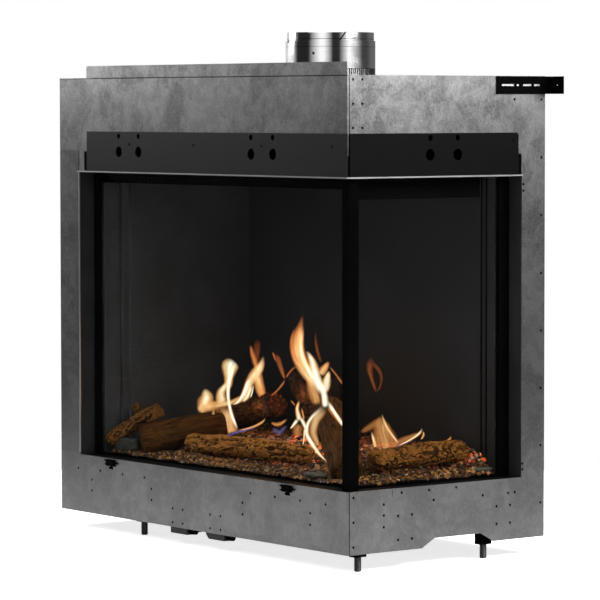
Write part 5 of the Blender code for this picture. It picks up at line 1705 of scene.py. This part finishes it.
@dataclass
class Stones:
    """The three stones on the bed.

    Each row holds the node, the middle's place in the casing, the size's shares, the seed and the finish.
    """

    size: float = 0.020
    waviness: float = 0.07
    pitting: float = 0.0006
    flat_above: float = 0.45
    flattening: float = 0.3
    rows: Sequence[tuple[str, Place, Place, int, Looks]] = (
        ("stone_left", (0.1460, 0.0860, 0.1590), (2.10, 1.20, 1.35), 21, Looks.SHADED_STONE),
        ("stone_front", (0.885612, 0.0760, 0.1475), (1.55, 0.95, 0.65), 22, Looks.STONE),
        ("stone_side", (1.0160, 0.4365, 0.1475), (0.90, 1.50, 0.60), 23, Looks.STONE),
    )

    def build(self) -> None:
        """Model each stone over its solid."""
        for node, place, shares, seed, look in self.rows:
            source = random.Random(seed)
            phases = [source.uniform(0, math.tau) for _ in range(3)]
            centre = CASING.at(*place)
            bm = bmesh.new()
            bmesh.ops.create_icosphere(bm, subdivisions=5, radius=1.0)
            for vert in bm.verts:
                way = vert.co.normalized()
                wave = math.sin(3 * way.x + phases[0]) * math.sin(4 * way.y + phases[1])
                reach = self.size * (1 + self.waviness * (wave + math.sin(5 * way.z + phases[2])))
                reach += self.pitting * noise.noise(way * 5 + Vector((seed, 0, 0)))
                over = max(0.0, way.z - self.flat_above)
                up = self.flat_above + self.flattening * over if over else way.z
                vert.co = centre + Vector((way.x * shares[0], way.y * shares[1], up * shares[2])) * reach
            finish_piece(mesh_object(node + "_rounded", bm, angle=80), look, stands_for=[node])


@dataclass
class Glazing:
    """The two panes and their printed borders."""

    panes: Sequence[str] = ("front_glass", "side_glass")
    borders: Sequence[str] = ("front_glass_border", "side_glass_border")

    def build(self) -> None:
        """Dress the panes and borders."""
        dress_nodes(self.panes, Looks.GLASS)
        dress_nodes(self.borders, Looks.BLACK)


@dataclass
class Linings:
    """The black plates of painted shade under the soffit behind the panes, and the folds at the firebox's
    rear corner.

    The plate rows hold the places of their two ends across and into the casing.
    """

    front_shade_plate: Four = (0.0850, 0.0500, 1.0330, 0.0515)
    front_drop: float = 0.028
    side_shade_plate: Four = (1.0360, 0.0530, 1.0375, 0.4125)
    side_drop: float = 0.050
    folds: Sequence[float] = (0.9914, 1.0083)
    fold_size: Flat = (0.0035, 0.0013)
    fold_face: float = 0.4545
    fold_levels: Flat = (0.128, 0.84)

    def build(self) -> None:
        """Hang the black plates of painted shade and lay the folds."""
        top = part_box("window_soffit")[0].z - CASING.low
        # Black plates under the soffit: painted shade along the top of the firebox.
        for name, (x0, y0, x1, y1), drop in (("front_inner_shade_plate", self.front_shade_plate, self.front_drop),
                                             ("side_inner_shade_plate", self.side_shade_plate, self.side_drop)):
            box_piece(name, CASING.at(x0, y0, top - drop), CASING.at(x1, y1, top), Looks.BLACK)
        low, high = self.fold_levels
        width, depth = self.fold_size
        for number, x in enumerate(self.folds, 1):
            box_piece(f"rear_fold_{number}", CASING.at(x, self.fold_face, low),
                      CASING.at(x + width, self.fold_face + depth, high), Looks.BLACK)


@dataclass
class Feet:
    """The threaded levelling studs."""

    radius: float = 0.008
    length: float = 0.094
    drop: float = 0.039
    pitch: float = 0.002
    depth: float = 0.0009
    chamfer: float = 0.0014
    sides: int = 24
    pitch_steps: int = 6
    places: Sequence[tuple[str, Flat]] = (
        ("stud_left_front", (0.27802, 0.045)), ("stud_right_front", (1.070, 0.045)),
        ("stud_left_rear", (0.27802, 0.396)), ("stud_right_rear", (1.070, 0.396)))

    def build(self) -> None:
        """Cut a real thread on each stud."""
        for body, (x, y) in self.places:
            foot = CASING.at(x, y, -self.drop)
            rows = int(self.length / self.pitch * self.pitch_steps)
            rings = []
            for i in range(rows + 1):
                z = self.length * i / rows
                shrink = max(0.0, self.chamfer - min(z, self.length - z))
                ring = []
                for k in range(self.sides):
                    angle = math.tau * k / self.sides
                    turn = (z / self.pitch + k / self.sides) % 1.0
                    reach = self.radius - self.depth * abs(2 * turn - 1) - shrink
                    ring.append(foot + Vector((math.cos(angle) * reach, math.sin(angle) * reach, z)))
                rings.append(ring)
            bm = bmesh.new()
            loft(bm, rings)
            thread = mesh_object(f"foot_{body}_thread", bm, angle=50)
            finish_piece(thread, Looks.BOLT, body, ["foot_" + body])


class Gas(Enum):
    """How a lick of gas burns, as its share of blue."""

    LIT = 0.0
    BLUE = 1.0


@dataclass(frozen=True)
class Lick:
    """One lick of flame.

    The run holds millimetres across, millimetres up and half the width there, from its burst's root. The
    heat is given at its foot and at its tip, and step counts how many thin layers it lies nearer the room.
    """

    heat: Flat
    density: float
    softness: float
    step: float
    run: Sequence[Place]
    gas: Gas = Gas.LIT


@dataclass(frozen=True)
class Burst:
    """The licks that rise from one stretch of the burner."""

    name: str
    root: Place
    licks: Sequence[Lick]


def smooth_run(points: Sequence[Vector], count: int) -> list[Vector]:
    """Draw a smooth curve through points.

    Args:
        points: The points.
        count: How many pieces the curve has.
    Returns:
        The curve's count + 1 points.
    """
    ends = [points[0] * 2 - points[1], *points, points[-1] * 2 - points[-2]]
    made = []
    for i in range(count + 1):
        s = i / count * (len(points) - 1)
        j = min(int(s), len(points) - 2)
        t = s - j
        a, b, c, d = ends[j:j + 4]
        made.append(0.5 * ((2 * b) + (c - a) * t + (2 * a - 5 * b + 4 * c - d) * t ** 2
                           + (3 * b - a - 3 * c + d) * t ** 3))
    return made


def ease(share: float) -> float:
    """Return a smooth step from 0 to 1 for a share."""
    share = clamp(share)
    return share * share * (3 - 2 * share)


@dataclass
class Flames:
    """Every lick of flame over the burner, as thin closed tongues that face the room."""

    facing: float = 52.5
    rows: int = 46
    columns: int = 8
    bulge: float = 0.35
    swell: float = 1.18
    thinnest: float = 0.0004
    softening: float = 1.5
    spacing: float = 0.003
    fade_in: float = 0.16
    fade_out: float = 0.30
    strand_width: float = 0.0050
    strand_length: float = 0.045
    strand_offset: float = 7.3
    place_offset: float = 50.0
    bursts: Sequence[Burst] = (
        Burst("left_lick", (0.218, 0.262, 0.229), (
            Lick((0.62, 0.8), 0.85, 0.9, 0, ((-13, -2.4, 5.9), (-7.1, 7.1, 13), (0, 21.3, 18.4),
                (3.5, 35.4, 16.1), (1.2, 47.3, 9.9), (-2.8, 56.7, 2.8))),
            Lick((0.66, 0.6), 0.75, 0.9, 1, ((-4.7, 7.1, 8.3), (14.2, 14.2, 11.8), (35.4, 18.9, 9),
                (59.1, 22.4, 6.6), (78, 31.9, 5.2), (94.5, 44.9, 2.4))),
            Lick((0.8, 0.95), 0.55, 1.4, 3, ((-2.4, 16.5, 7.1), (2.4, 30.7, 9.5), (4.7, 42.5, 7.1))),
        )),
        Burst("left_plume", (0.301, 0.262, 0.184), (
            Lick((0.7, 0.92), 0.95, 0.8, 0, ((3.5, 103.1, 7.5), (5.9, 117.2, 9.4), (7, 131.3, 10.8),
                (8.2, 145.3, 15.2), (10.1, 158.2, 19.2), (14.1, 168.8, 15.2), (17.6, 174.6, 5.9))),
            Lick((0.95, 1), 1, 1.2, 4, ((28.1, 10.5, 2.1), (22.3, 23.4, 3.5), (14.1, 44.5, 4.5),
                (9.4, 63.3, 4.2), (5.9, 84.4, 4.7), (5.4, 103.1, 5.2), (8.2, 124.2, 5.4), (11.7, 140.6, 6.6),
                (17.6, 157, 7.5), (23.4, 168.8, 4.2))),
            Lick((0.72, 0.85), 0.9, 0.8, 1, ((-7, 70.3, 12.9), (-11.7, 84.4, 11.7), (-10.5, 98.4, 9.8),
                (-2.3, 111.3, 7), (4.2, 124.2, 3.5))),
            Lick((0.42, 0.52), 0.42, 0.5, -2, ((-9.4, -9.4, 31.6), (-8.2, 9.4, 30.5), (-7, 32.8, 27),
                (-5.9, 51.6, 22.3), (-4.7, 70.3, 16.4))),
            Lick((0.62, 0.72), 0.85, 1, 2, ((-35.2, -5.9, 3.5), (-31.6, 7, 4.7), (-30, 23.4, 4.9),
                (-29.5, 42.2, 4.2), (-28.1, 63.3, 3))),
            Lick((0.62, 0.74), 0.6, 0.8, 2, ((15.2, 0, 15.2), (10.5, 18.8, 14.1), (4.7, 39.8, 11.7),
                (0, 60.9, 9.4))),
            Lick((0.62, 0.62), 0.9, 1, 15, ((-30.5, 0, 2.3), (-14.1, -3.8, 4), (4.7, -0.5, 3.5),
                (28.1, 8.2, 3.2), (56.3, 15.7, 2.8), (77.3, 21.1, 1.8)), Gas.BLUE),
            Lick((0.5, 0.62), 0.8, 1.1, 16, ((28.1, 12.3, 1.4), (46.9, 16, 2.1), (65.6, 21.2, 3),
                (79.7, 27.8, 3.4), (89.1, 35.1, 2.6), (93.3, 43.5, 1.2))),
        )),
        Burst("middle_plume", (0.365, 0.285, 0.262), (
            Lick((0.8, 0.7), 0.9, 0.7, 0, ((-42, -7, 1.9), (-28, 0, 4.4), (-16.3, 12.8, 6.8),
                (-8.2, 29.1, 8.4), (-1.2, 45.5, 9.8), (7, 59.5, 11.2), (17.5, 72.3, 11.7), (25.6, 86.3, 8.2),
                (29.6, 99.1, 4.4), (31.7, 109.6, 1.4))),
            Lick((1, 0.95), 1, 1.3, 3, ((-41.3, -7, 1.2), (-28, 1.6, 2.6), (-17.5, 16.3, 3.7),
                (-10.5, 32.6, 4.2), (-4.7, 47.8, 4.2), (1.9, 58.3, 2.8))),
            Lick((0.75, 0.85), 0.85, 1, 2, ((-18.7, 0, 2.8), (-7, 11.7, 5.6), (-0.5, 26.8, 4.9),
                (5.1, 42, 3.5))),
            Lick((0.85, 0.85), 0.9, 1.3, 3, ((0.7, 9.8, 1.2), (4.7, 21, 2.1), (7, 32.6, 1.6),
                (8.9, 42, 0.7))),
            Lick((0.35, 0.78), 0.85, 0.7, -1, ((35.7, -7, 3.3), (31, 9.3, 7.5), (25.2, 25.6, 10.7),
                (20.1, 44.3, 11.7), (17.5, 60.6, 11.7), (19.8, 74.6, 7))),
            Lick((0.28, 0.38), 0.8, 1.2, 2, ((36.4, -11.7, 1.4), (33.1, 7, 2.6), (28.7, 25.6, 1.9))),
            Lick((0.46, 0.28), 0.62, 0.8, -2, ((18.7, 72.3, 5.6), (12.4, 90.9, 6.5), (6.5, 108.4, 6.1),
                (2.8, 123.6, 3.5), (0.9, 135.2, 1.2))),
            Lick((0.26, 0.18), 0.28, 0.7, -3, ((14, 79.3, 7), (14, 104.9, 9.3), (16.3, 128.2, 8.2),
                (18.7, 149.2, 4.7))),
        )),
        Burst("thin_wisps", (0.476, 0.3, 0.273), (
            Lick((0.36, 0.26), 0.5, 0.8, 0, ((2.3, 46.2, 1.8), (-2.8, 62.3, 4.6), (-8.8, 80.8, 6),
                (-13.8, 95.8, 6), (-18.5, 109.6, 2.8))),
            Lick((0.28, 0.26), 0.8, 1.1, 1, ((-18.5, 90, 1.8), (-22.6, 102.7, 2.8), (-27, 113.1, 1.4))),
            Lick((0.34, 0.38), 0.5, 1, 1, ((-32.3, 6.9, 1.2), (-16.2, 21.9, 2.5), (-4.6, 35.8, 2.8),
                (3.9, 48.5, 1.8))),
            Lick((0.36, 0.3), 0.55, 1, 0, ((4.6, 50.8, 1.8), (11.5, 62.3, 2.8), (20.8, 72.7, 2.8),
                (30, 78.5, 1.4))),
        )),
        Burst("main_plume", (0.838, 0.13, 0.2152), (
            Lick((0.85, 0.34), 0.92, 0.7, 0, ((-6.7, 115.5, 8.9), (-20, 136.6, 12.9), (-35.5, 157.7, 14.2),
                (-47.7, 178.8, 14.6), (-53.7, 199.9, 14.2), (-54.2, 219.9, 13), (-51.1, 239.9, 10),
                (-46.6, 259.6, 6), (-41.8, 283.7, 1.4))),
            Lick((0.95, 0.62), 0.95, 0.9, 3, ((-11.1, 124.4, 4.9), (-24.4, 148.8, 6.7), (-36.6, 172.1, 6.4),
                (-44.9, 194.3, 6.7), (-47.5, 215.4, 7.1), (-45.7, 237.6, 6.4), (-42.2, 257.6, 3.1))),
            Lick((0.45, 0.3), 0.8, 1, 2, ((-37.8, 155.5, 4), (-54.4, 174.3, 4.9), (-63.7, 195.4, 5.8),
                (-66.6, 215.4, 5.3), (-64.4, 235.4, 4), (-57.7, 254.3, 1.8))),
            Lick((0.98, 0.8), 1, 0.8, 4, ((0, 104.4, 8), (-6.7, 124.4, 9.8), (-13.3, 144.4, 10.2),
                (-17.3, 162.1, 9.8), (-21.8, 177.7, 7.8), (-29.3, 192.1, 4.9), (-37.1, 202.1, 1.8))),
            Lick((0.95, 0.72), 0.95, 0.8, 3, ((2.2, 106.6, 7.1), (6.7, 122.1, 10), (10, 136.6, 8.9),
                (13.3, 148.8, 5.1), (15.5, 157.7, 1.8))),
            Lick((0.7, 0.45), 0.8, 0.8, 1, ((-4.4, 146.6, 6.7), (2.2, 157.7, 9.3), (8.9, 167.7, 6.2),
                (15.5, 177.7, 2.2))),
            Lick((0.26, 0.12), 0.34, 0.7, 0, ((-1.1, 173.2, 2.7), (-7.3, 188.8, 3.6), (-11.3, 204.3, 3.6),
                (-14.2, 222.1, 3.1), (-15.5, 244.3, 1.8))),
            Lick((0.55, 0.62), 0.6, 0.6, -1, ((-11.1, 80, 7.8), (-14.4, 95.5, 11.1), (-20, 113.3, 11.1),
                (-25.5, 131, 8.9), (-30, 146.6, 4.4))),
            Lick((1, 1), 1, 1, 6, ((5.8, 75.5, 5.3), (6.2, 88.8, 7.8), (4.4, 104.4, 7.6), (0, 119.9, 6.4),
                (-5.6, 135.5, 3.6))),
            Lick((0.78, 1), 1, 1.1, 6, ((12.2, -43.3, 1.1), (3.3, -35.5, 2.4), (-6.7, -25.1, 3.8),
                (-16.7, -11.1, 4.9), (-26.7, 4.4, 5.6), (-33.8, 17.8, 5.6), (-34.2, 31.1, 5.3),
                (-30, 44.4, 4.2), (-21.1, 57.7, 4.2), (-7.8, 70, 5.1), (3.3, 82.2, 5.8))),
            Lick((0.62, 0.72), 0.62, 0.7, 3, ((-6.7, -13.3, 2.2), (-13.3, 2.2, 6.2), (-19.3, 20, 8.4),
                (-18.2, 35.5, 8.9), (-12.7, 51.1, 9.3), (-2.2, 64.4, 9.3), (8.9, 77.7, 6.7))),
            Lick((0.75, 0.85), 0.95, 1.2, 5, ((-42.6, -6.7, 1.1), (-40.4, 4.4, 2), (-39.3, 20, 2.4),
                (-38.2, 35.5, 2.2))),
            Lick((0.92, 1), 1, 1.1, 6, ((56.6, 21.1, 2.7), (46.6, 36.6, 4.2), (36.6, 51.5, 4.7),
                (26.7, 66.6, 4.4), (17.8, 80, 4.7), (10, 93.3, 4.9))),
            Lick((0.45, 0.55), 0.55, 0.8, 4, ((46.6, 35.5, 3.3), (33.3, 52.2, 5.1), (20, 68.8, 5.3),
                (11.1, 80, 4.4))),
        )),
        Burst("small_lick", (0.618, 0.235, 0.218), (
            Lick((0.9, 0.52), 0.95, 0.9, 1, ((1.8, 20.4, 6.8), (-1.8, 34, 5.9), (-4.5, 47.6, 4.5),
                (-2.3, 58.9, 3.2), (1.6, 69.1, 1.1))),
            Lick((0.8, 0.92), 0.95, 1.1, 2, ((-20.4, 2.7, 1.4), (-11.3, 14.3, 3.6), (-2.3, 26, 5))),
            Lick((0.92, 0.95), 0.95, 1.1, 2, ((15.9, 2.3, 3.6), (9.7, 17, 4.8), (2.3, 30.6, 4.1))),
            Lick((0.42, 0.5), 0.4, 0.6, -1, ((-4.5, -15.9, 7.9), (-3.4, 0, 11.8), (0, 15.9, 9.1))),
            Lick((0.5, 0.4), 0.6, 1.1, 2, ((11.3, 22.6, 2), (8.2, 38.5, 2.7), (5.2, 52.1, 1.6))),
            Lick((0.38, 0.38), 0.7, 1.2, 1, ((-9.1, 55.5, 1.1), (-14, 62.7, 2.3), (-19.7, 69.1, 1.1))),
            Lick((0.4, 0.58), 0.55, 0.8, 2, ((-64.5, 19.2, 1.6), (-54.3, 14, 4.5), (-44.2, 14.5, 5),
                (-34, 20.4, 3.2), (-26, 27.2, 1.1))),
            Lick((0.62, 0.7), 0.35, 0.6, 0, ((-61.1, 6.8, 3.2), (-52.1, -2.3, 6.3), (-43, -4.5, 5.9),
                (-34, 4.5, 4.1), (-24.9, 11.3, 1.8)), Gas.BLUE),
        )),
        Burst("edge_wisps", (0.678, 0.3, 0.287), (
            Lick((0.38, 0.34), 0.6, 1, 0, ((15.8, 27.1, 2.3), (5.7, 43, 2.7), (-4.5, 57.7, 2.7),
                (-13.6, 69, 2), (-19.7, 76.9, 0.9))),
            Lick((0.28, 0.34), 0.6, 1, 0, ((12.7, -9, 1.8), (13.6, 11.3, 2.7), (12.7, 29.4, 2.3))),
            Lick((0.5, 0.58), 0.9, 1.2, 1, ((-4.5, -4.1, 1.1), (4.5, -12, 3.2), (15.8, -19.9, 3.4))),
        )),
        Burst("ring_wisp", (0.77, 0.33, 0.31), (
            Lick((0.24, 0.2), 0.34, 0.7, 0, ((6.3, -4.5, 1.1), (0.4, 13.5, 3.4), (-5.4, 31.4, 4.5),
                (-9.4, 49.4, 7.2), (-7.6, 65.1, 8.5), (-4.5, 80.8, 2.2))),
            Lick((0.24, 0.2), 0.3, 0.8, 0, ((5.6, -2.2, 1.1), (13.9, 12.3, 2.5), (17.1, 29.2, 3.4),
                (13, 46, 4.7), (4, 58.4, 5.2), (-3.4, 67.3, 3.4))),
        )),
        Burst("side_skirt", (0.82, 0.325, 0.183), (
            Lick((0.5, 0.56), 0.5, 0.5, 0, ((-1.1, -8.9, 20.1), (0, 6.7, 26.8), (-3.4, 24.6, 25),
                (-7.8, 42.4, 20.1), (-10.5, 60.3, 13.4), (-11.2, 78.2, 3.4))),
            Lick((0.7, 0.72), 0.75, 1.2, 3, ((29, 13.9, 1.6), (16.3, 30.2, 3.4), (4.5, 46.9, 3.4),
                (-4.5, 64.8, 2.9), (-10.5, 84.9, 1.1))),
            Lick((0.62, 0.8), 0.9, 1, 3, ((-23.9, -12.3, 1.8), (-23.2, 0, 3.6), (-25.2, 13.4, 4),
                (-29.3, 29, 3.4), (-33.5, 44.7, 1.8))),
            Lick((0.42, 0.5), 0.32, 0.6, 1, ((-58.1, 40.2, 2.7), (-44.7, 46.9, 6.7), (-29, 55.9, 8.5),
                (-15.6, 67, 7.1), (-6.7, 78.2, 2.2))),
            Lick((0.6, 0.6), 0.95, 1, 5, ((-23.5, -11.8, 1.8), (-8.9, -11.6, 3.6), (4.5, -4, 3.6),
                (20.1, 6.3, 3.1), (35.7, 15, 2.5), (53.6, 22.3, 2), (69.3, 26.1, 1.3)), Gas.BLUE),
            Lick((0.62, 0.82), 0.95, 1.1, 6, ((22.3, 10.1, 0.9), (40.2, 18.3, 1.8), (55.9, 26.8, 2.5),
                (67, 34.2, 3.1), (76, 42.4, 3.1), (80.4, 52.5, 1.1))),
            Lick((0.55, 0.6), 0.8, 1.1, 5, ((77.1, 25, 1.8), (82.7, 34.6, 2.9), (82.2, 44.7, 1.3))),
            Lick((0.45, 0.5), 0.35, 0.6, -2, ((13.4, 8.9, 6.7), (35.7, 20.1, 8), (58.1, 30.2, 5.8),
                (71.5, 40.2, 2.2))),
        )),
        Burst("far_lick", (0.942, 0.4, 0.202), (
            Lick((0.55, 0.5), 0.7, 1, 0, ((-14.4, -5.5, 1.3), (-4.4, 2.7, 3.5), (5.5, 10.4, 3.1),
                (9.5, 18.9, 0.9))),
            Lick((0.5, 0.5), 0.5, 0.8, 0, ((-24.4, -4.4, 2.2), (-11.1, -4.4, 3.5), (0, 0, 2.7)), Gas.BLUE),
        )),
    )

    def build(self) -> None:
        """Model each burst's tongues as one piece."""
        turn = math.radians(self.facing)
        across = Vector((math.cos(turn), math.sin(turn), 0))
        toward = Vector((math.sin(turn), -math.cos(turn), 0))
        for burst in self.bursts:
            bm = bmesh.new()
            marks = {name: [] for name in ("across", "fade", "firing", "cool", "softness", "flow")}
            for number, lick in enumerate(burst.licks):
                root = CASING.at(*burst.root) + toward * (lick.step * self.spacing)
                self.tongue(bm, lick, root, (across, toward), marks, number)
            flames = mesh_object("flames_" + burst.name, bm, angle=180)
            for name, values in marks.items():
                set_attribute(flames.data, name, values, vector=name == "flow")
            finish_piece(flames, Looks.FLAME)

    def tongue(self, bm: BMesh, lick: Lick, root: Vector, ways: tuple[Vector, Vector],
               marks: dict[str, list[float]], number: int) -> None:
        """Add one closed tongue to a mesh.

        Args:
            bm: The burst's mesh.
            lick: The lick to model.
            root: Where its run starts from.
            ways: The directions across the view and toward the room.
            marks: The lists of attribute values, which grow with the vertices. Flow takes three for each.
            number: The lick's number, which sets its strands apart.
        """
        across, toward = ways
        points = smooth_run([Vector(point) / 1000 for point in lick.run], self.rows)
        front = [2 * k / self.columns - 1 for k in range(self.columns + 1)]
        turns = [(u, 1) for u in front] + [(u, -1) for u in front[-2:0:-1]]
        rings, length = [], 0.0
        for i, point in enumerate(points):
            t = i / self.rows
            before, after = points[max(i - 1, 0)], points[min(i + 1, self.rows)]
            way = Vector((after.x - before.x, after.y - before.y)).normalized()
            if i:
                length += (Vector(point[:2]) - Vector(points[i - 1][:2])).length
            half = max(point.z, self.thinnest) * self.swell
            fade = ease(t / self.fade_in) * ease((1 - t) / self.fade_out) * lick.density
            heat = lick.heat[0] + (lick.heat[1] - lick.heat[0]) * t
            ring = []
            for u, face in turns:
                spot = Vector((point.x, point.y)) + Vector((way.y, -way.x)) * (u * half)
                depth = face * self.bulge * half * math.sqrt(max(0.0, 1 - u * u))
                ring.append(root + across * spot.x + Vector((0, 0, spot.y)) + toward * depth)
                values = (abs(u), fade, heat, lick.gas.value, lick.softness * self.softening)
                for name, value in zip(marks, values):
                    marks[name].append(value)
                marks["flow"] += [u * half / self.strand_width, length / self.strand_length,
                                  self.strand_offset * number + root.x * self.place_offset]
            rings.append(ring)
        loft(bm, rings)


@dataclass
class Enclosure:
    """The CAD nodes that keep their own shape."""

    looks: Sequence[tuple[Looks, Sequence[str]]] = (
        (Looks.GALVANISED, ("front_upper_panel", "front_upstand", "base_plate")),
        (Looks.TOP_SHADE_SHEET, ("top_plate",)),
        (Looks.STILE_SHADE_SHEET, ("front_left_stile",)),
        (Looks.RAIL, ("front_fascia_rail",)),
        (Looks.SHADED_SIDE_RAIL, ("side_fascia_rail",)),
        (Looks.SHADED_SILL, ("window_sill",)),
        (Looks.TRIM, ("opening_trim",)),
        (Looks.REVEAL, ("rear_jamb",)),
        (Looks.JAMB, ("left_jamb",)),
        (Looks.BLACK, ("window_soffit", "corner_post", "pane_header", "left_pane_catch", "right_pane_catch",
                       "left_wall_bracket", "right_wall_bracket", "foot_block_left_front",
                       "foot_block_right_front", "foot_block_left_rear", "foot_block_right_rear",
                       "valve_knob", "burner_tray", "rail_backing_strip")),
        (Looks.LIT_LINER, ("firebox_floor", "firebox_left_liner", "firebox_ceiling")),
        (Looks.SHADED_BACK_LINER, ("firebox_back_liner",)),
        (Looks.BOX, ("left_connection_box", "right_connection_box")),
        (Looks.BRASS, ("gas_valve", "gas_inlet_pipe")),
        (Looks.ASH, ("ember_bed",)))

    def build(self) -> None:
        """Give every kept node its finish."""
        for look, names in self.looks:
            dress_nodes(names, look)


@dataclass
class Studio:
    """The camera, the pale floor, the panelled room and the soft lights.

    Each panel of the room holds its first and last angle in degrees and its brightness, each stop of the
    sky its place and brightness, each softbox its name, place, aim, size and power, and each flame light its
    place in the casing, power and size.
    """

    eye: Place = (6.1378, -4.69895, 0.98784)
    turn: float = 52.48178
    tilt: float = 3.26068
    roll: float = -0.0569
    lens: float = 203.36
    floor_radius: float = 1.6
    floor_steps: int = 96
    floor_lift: float = 0.72
    panel_blur: float = 5.5
    wall_low: float = 0.10
    wall_high: float = 0.20
    panels: Sequence[Place] = (
        (-183.0, -153.0, 1.05), (-138.0, -90.0, 0.02), (-70.0, -49.0, 1.45), (-38.0, -10.0, 0.03),
        (2.0, 20.0, 1.15), (24.0, 37.0, 0.55), (46.0, 75.0, 0.07), (85.0, 138.0, 0.17),
        (147.0, 183.0, 0.80))
    sky: Sequence[Flat] = ((0.0, 0.05), (0.42, 0.06), (0.62, 0.30), (1.0, 1.0))
    softboxes: Sequence[tuple[str, Place, Place, Flat, float]] = (
        ("left_softbox", (-1.70, -0.62, 1.52), (-0.40, -0.20, 1.0), (1.0, 0.7), 40.0),
        ("right_softbox", (2.00, 0.82, 1.66), (0.55, 0.00, 1.0), (1.3, 0.8), 84.0),
        ("top_softbox", (0.6, -0.8, 3.4), (0.0, 0.0, 0.0), (3.0, 3.0), 110.0),
        ("room_light", (1.6, -3.7, 2.9), (0.0, 0.0, 0.4), (2.3, 1.6), 52.0))
    flame_lights: Sequence[tuple[Place, float, float]] = (
        ((0.56, 0.29, 0.30), 0.34, 0.03), ((0.40, 0.27, 0.25), 0.20, 0.03),
        ((0.84, 0.25, 0.24), 0.14, 0.03), ((0.66, 0.26, 0.24), 0.07, 0.02))
    flame_colour: Place = (1.0, 0.52, 0.20)

    def build(self) -> None:
        """Set up the whole studio."""
        self.camera()
        self.floor()
        self.world()
        for row in self.softboxes:
            self.soft_light(*row)
        for place, power, size in self.flame_lights:
            data = bpy.data.lights.new("flame_light", "POINT")
            data.energy = power
            data.shadow_soft_size = size
            data.color = self.flame_colour
            link_object("flame_light", data).location = CASING.at(*place)

    def camera(self) -> None:
        """Place the camera where the picture was taken from."""
        data = bpy.data.cameras.new("studio_camera")
        data.lens = self.lens
        data.sensor_width = 36.0
        camera = link_object("studio_camera", data)
        turn = Matrix.Rotation(math.radians(self.turn), 4, "Z")
        tilt = Matrix.Rotation(math.radians(90 - self.tilt), 4, "X")
        roll = Matrix.Rotation(math.radians(self.roll), 4, "Z")
        camera.matrix_world = Matrix.Translation(self.eye) @ turn @ tilt @ roll
        bpy.context.scene.camera = camera

    def floor(self) -> None:
        """Lay a pale floor."""
        mesh = bpy.data.meshes.new("studio_floor")
        count = self.floor_steps
        rim = [level_way(360 * k / count) * self.floor_radius for k in range(count)]
        mesh.from_pydata([tuple(place) for place in rim], [], [range(count)])
        made = bpy.data.materials.new("studio_floor_paint")
        paint = Paint(made)
        cloud = paint.patches(scale=0.8, detail=5.0, low=0.2, high=0.8)
        paint.shade({
            "Base Color": paint.blend(cloud, grey(0.88), grey(0.90)),
            "Roughness": 0.9,
            "Specular IOR Level": 0.1,
            "Emission Color": grey(1.0),
            "Emission Strength": self.floor_lift})
        mesh.materials.append(made)
        link_object("studio_floor", mesh)

    def world(self) -> None:
        """Surround the scene with pale and dark studio panels under a white ceiling."""
        world = bpy.data.worlds.new("studio_room")
        bpy.context.scene.world = world
        world.use_nodes = True
        world.node_tree.nodes.clear()
        wiring = Wiring(world.node_tree)
        way = wiring.add("ShaderNodeTexCoord").outputs["Generated"]
        split = wiring.add("ShaderNodeSeparateXYZ", {0: way})
        turn = wiring.math("ARCTAN2", split.outputs[1], split.outputs[0])
        stops = [((angle + 180) / 360, (level, level, level)) for start, stop, level in self.panels
                 for angle in (start + self.panel_blur, stop - self.panel_blur)]
        walls = wiring.ramp(wiring.spread(turn, -math.pi, math.pi, 0.0, 1.0), stops)
        height = split.outputs[2]
        sky = wiring.ramp(wiring.spread(height, -0.5, 1.0, 0.0, 1.0),
                          [(place, (level, level, level)) for place, level in self.sky])
        level = wiring.spread(wiring.math("ABSOLUTE", height), self.wall_low, self.wall_high, 1.0, 0.0)
        room = wiring.add("ShaderNodeBackground", {"Color": wiring.blend(level, sky, walls)})
        white = wiring.add("ShaderNodeBackground", {"Color": grey(1.0)})
        seen = wiring.add("ShaderNodeLightPath").outputs["Is Camera Ray"]
        both = wiring.add("ShaderNodeMixShader", {0: seen, 1: room, 2: white})
        wiring.add("ShaderNodeOutputWorld", {"Surface": both})
        bpy.context.scene.view_settings.view_transform = "Standard"

    @staticmethod
    def soft_light(name: str, place: Place, aim: Place, size: Flat, power: float) -> None:
        """Hang a rectangular soft light.

        Args:
            name: The light's name.
            place: Its middle, in the row frame.
            aim: What it faces.
            size: Its width and height.
            power: Its power in watts.
        """
        data = bpy.data.lights.new(name, "AREA")
        data.shape = "RECTANGLE"
        data.size, data.size_y = size
        data.energy = power
        light = link_object(name, data)
        light.location = place
        light.rotation_euler = (Vector(aim) - Vector(place)).to_track_quat("-Z", "Y").to_euler()


def main() -> None:
    """Build the whole fireplace and its studio."""
    logging.basicConfig(level=logging.INFO, format="%(name)s %(message)s")
    for part in (Enclosure(), SheetMetal(), Fixings(), Flue(), Glazing(), Linings(), Feet(), EmberBed(),
                 LogSet(), Stones(), Flames(), Studio()):
        part.build()
        LOGGER.info("built %s", type(part).__name__)


if __name__ == "__main__":
    main()
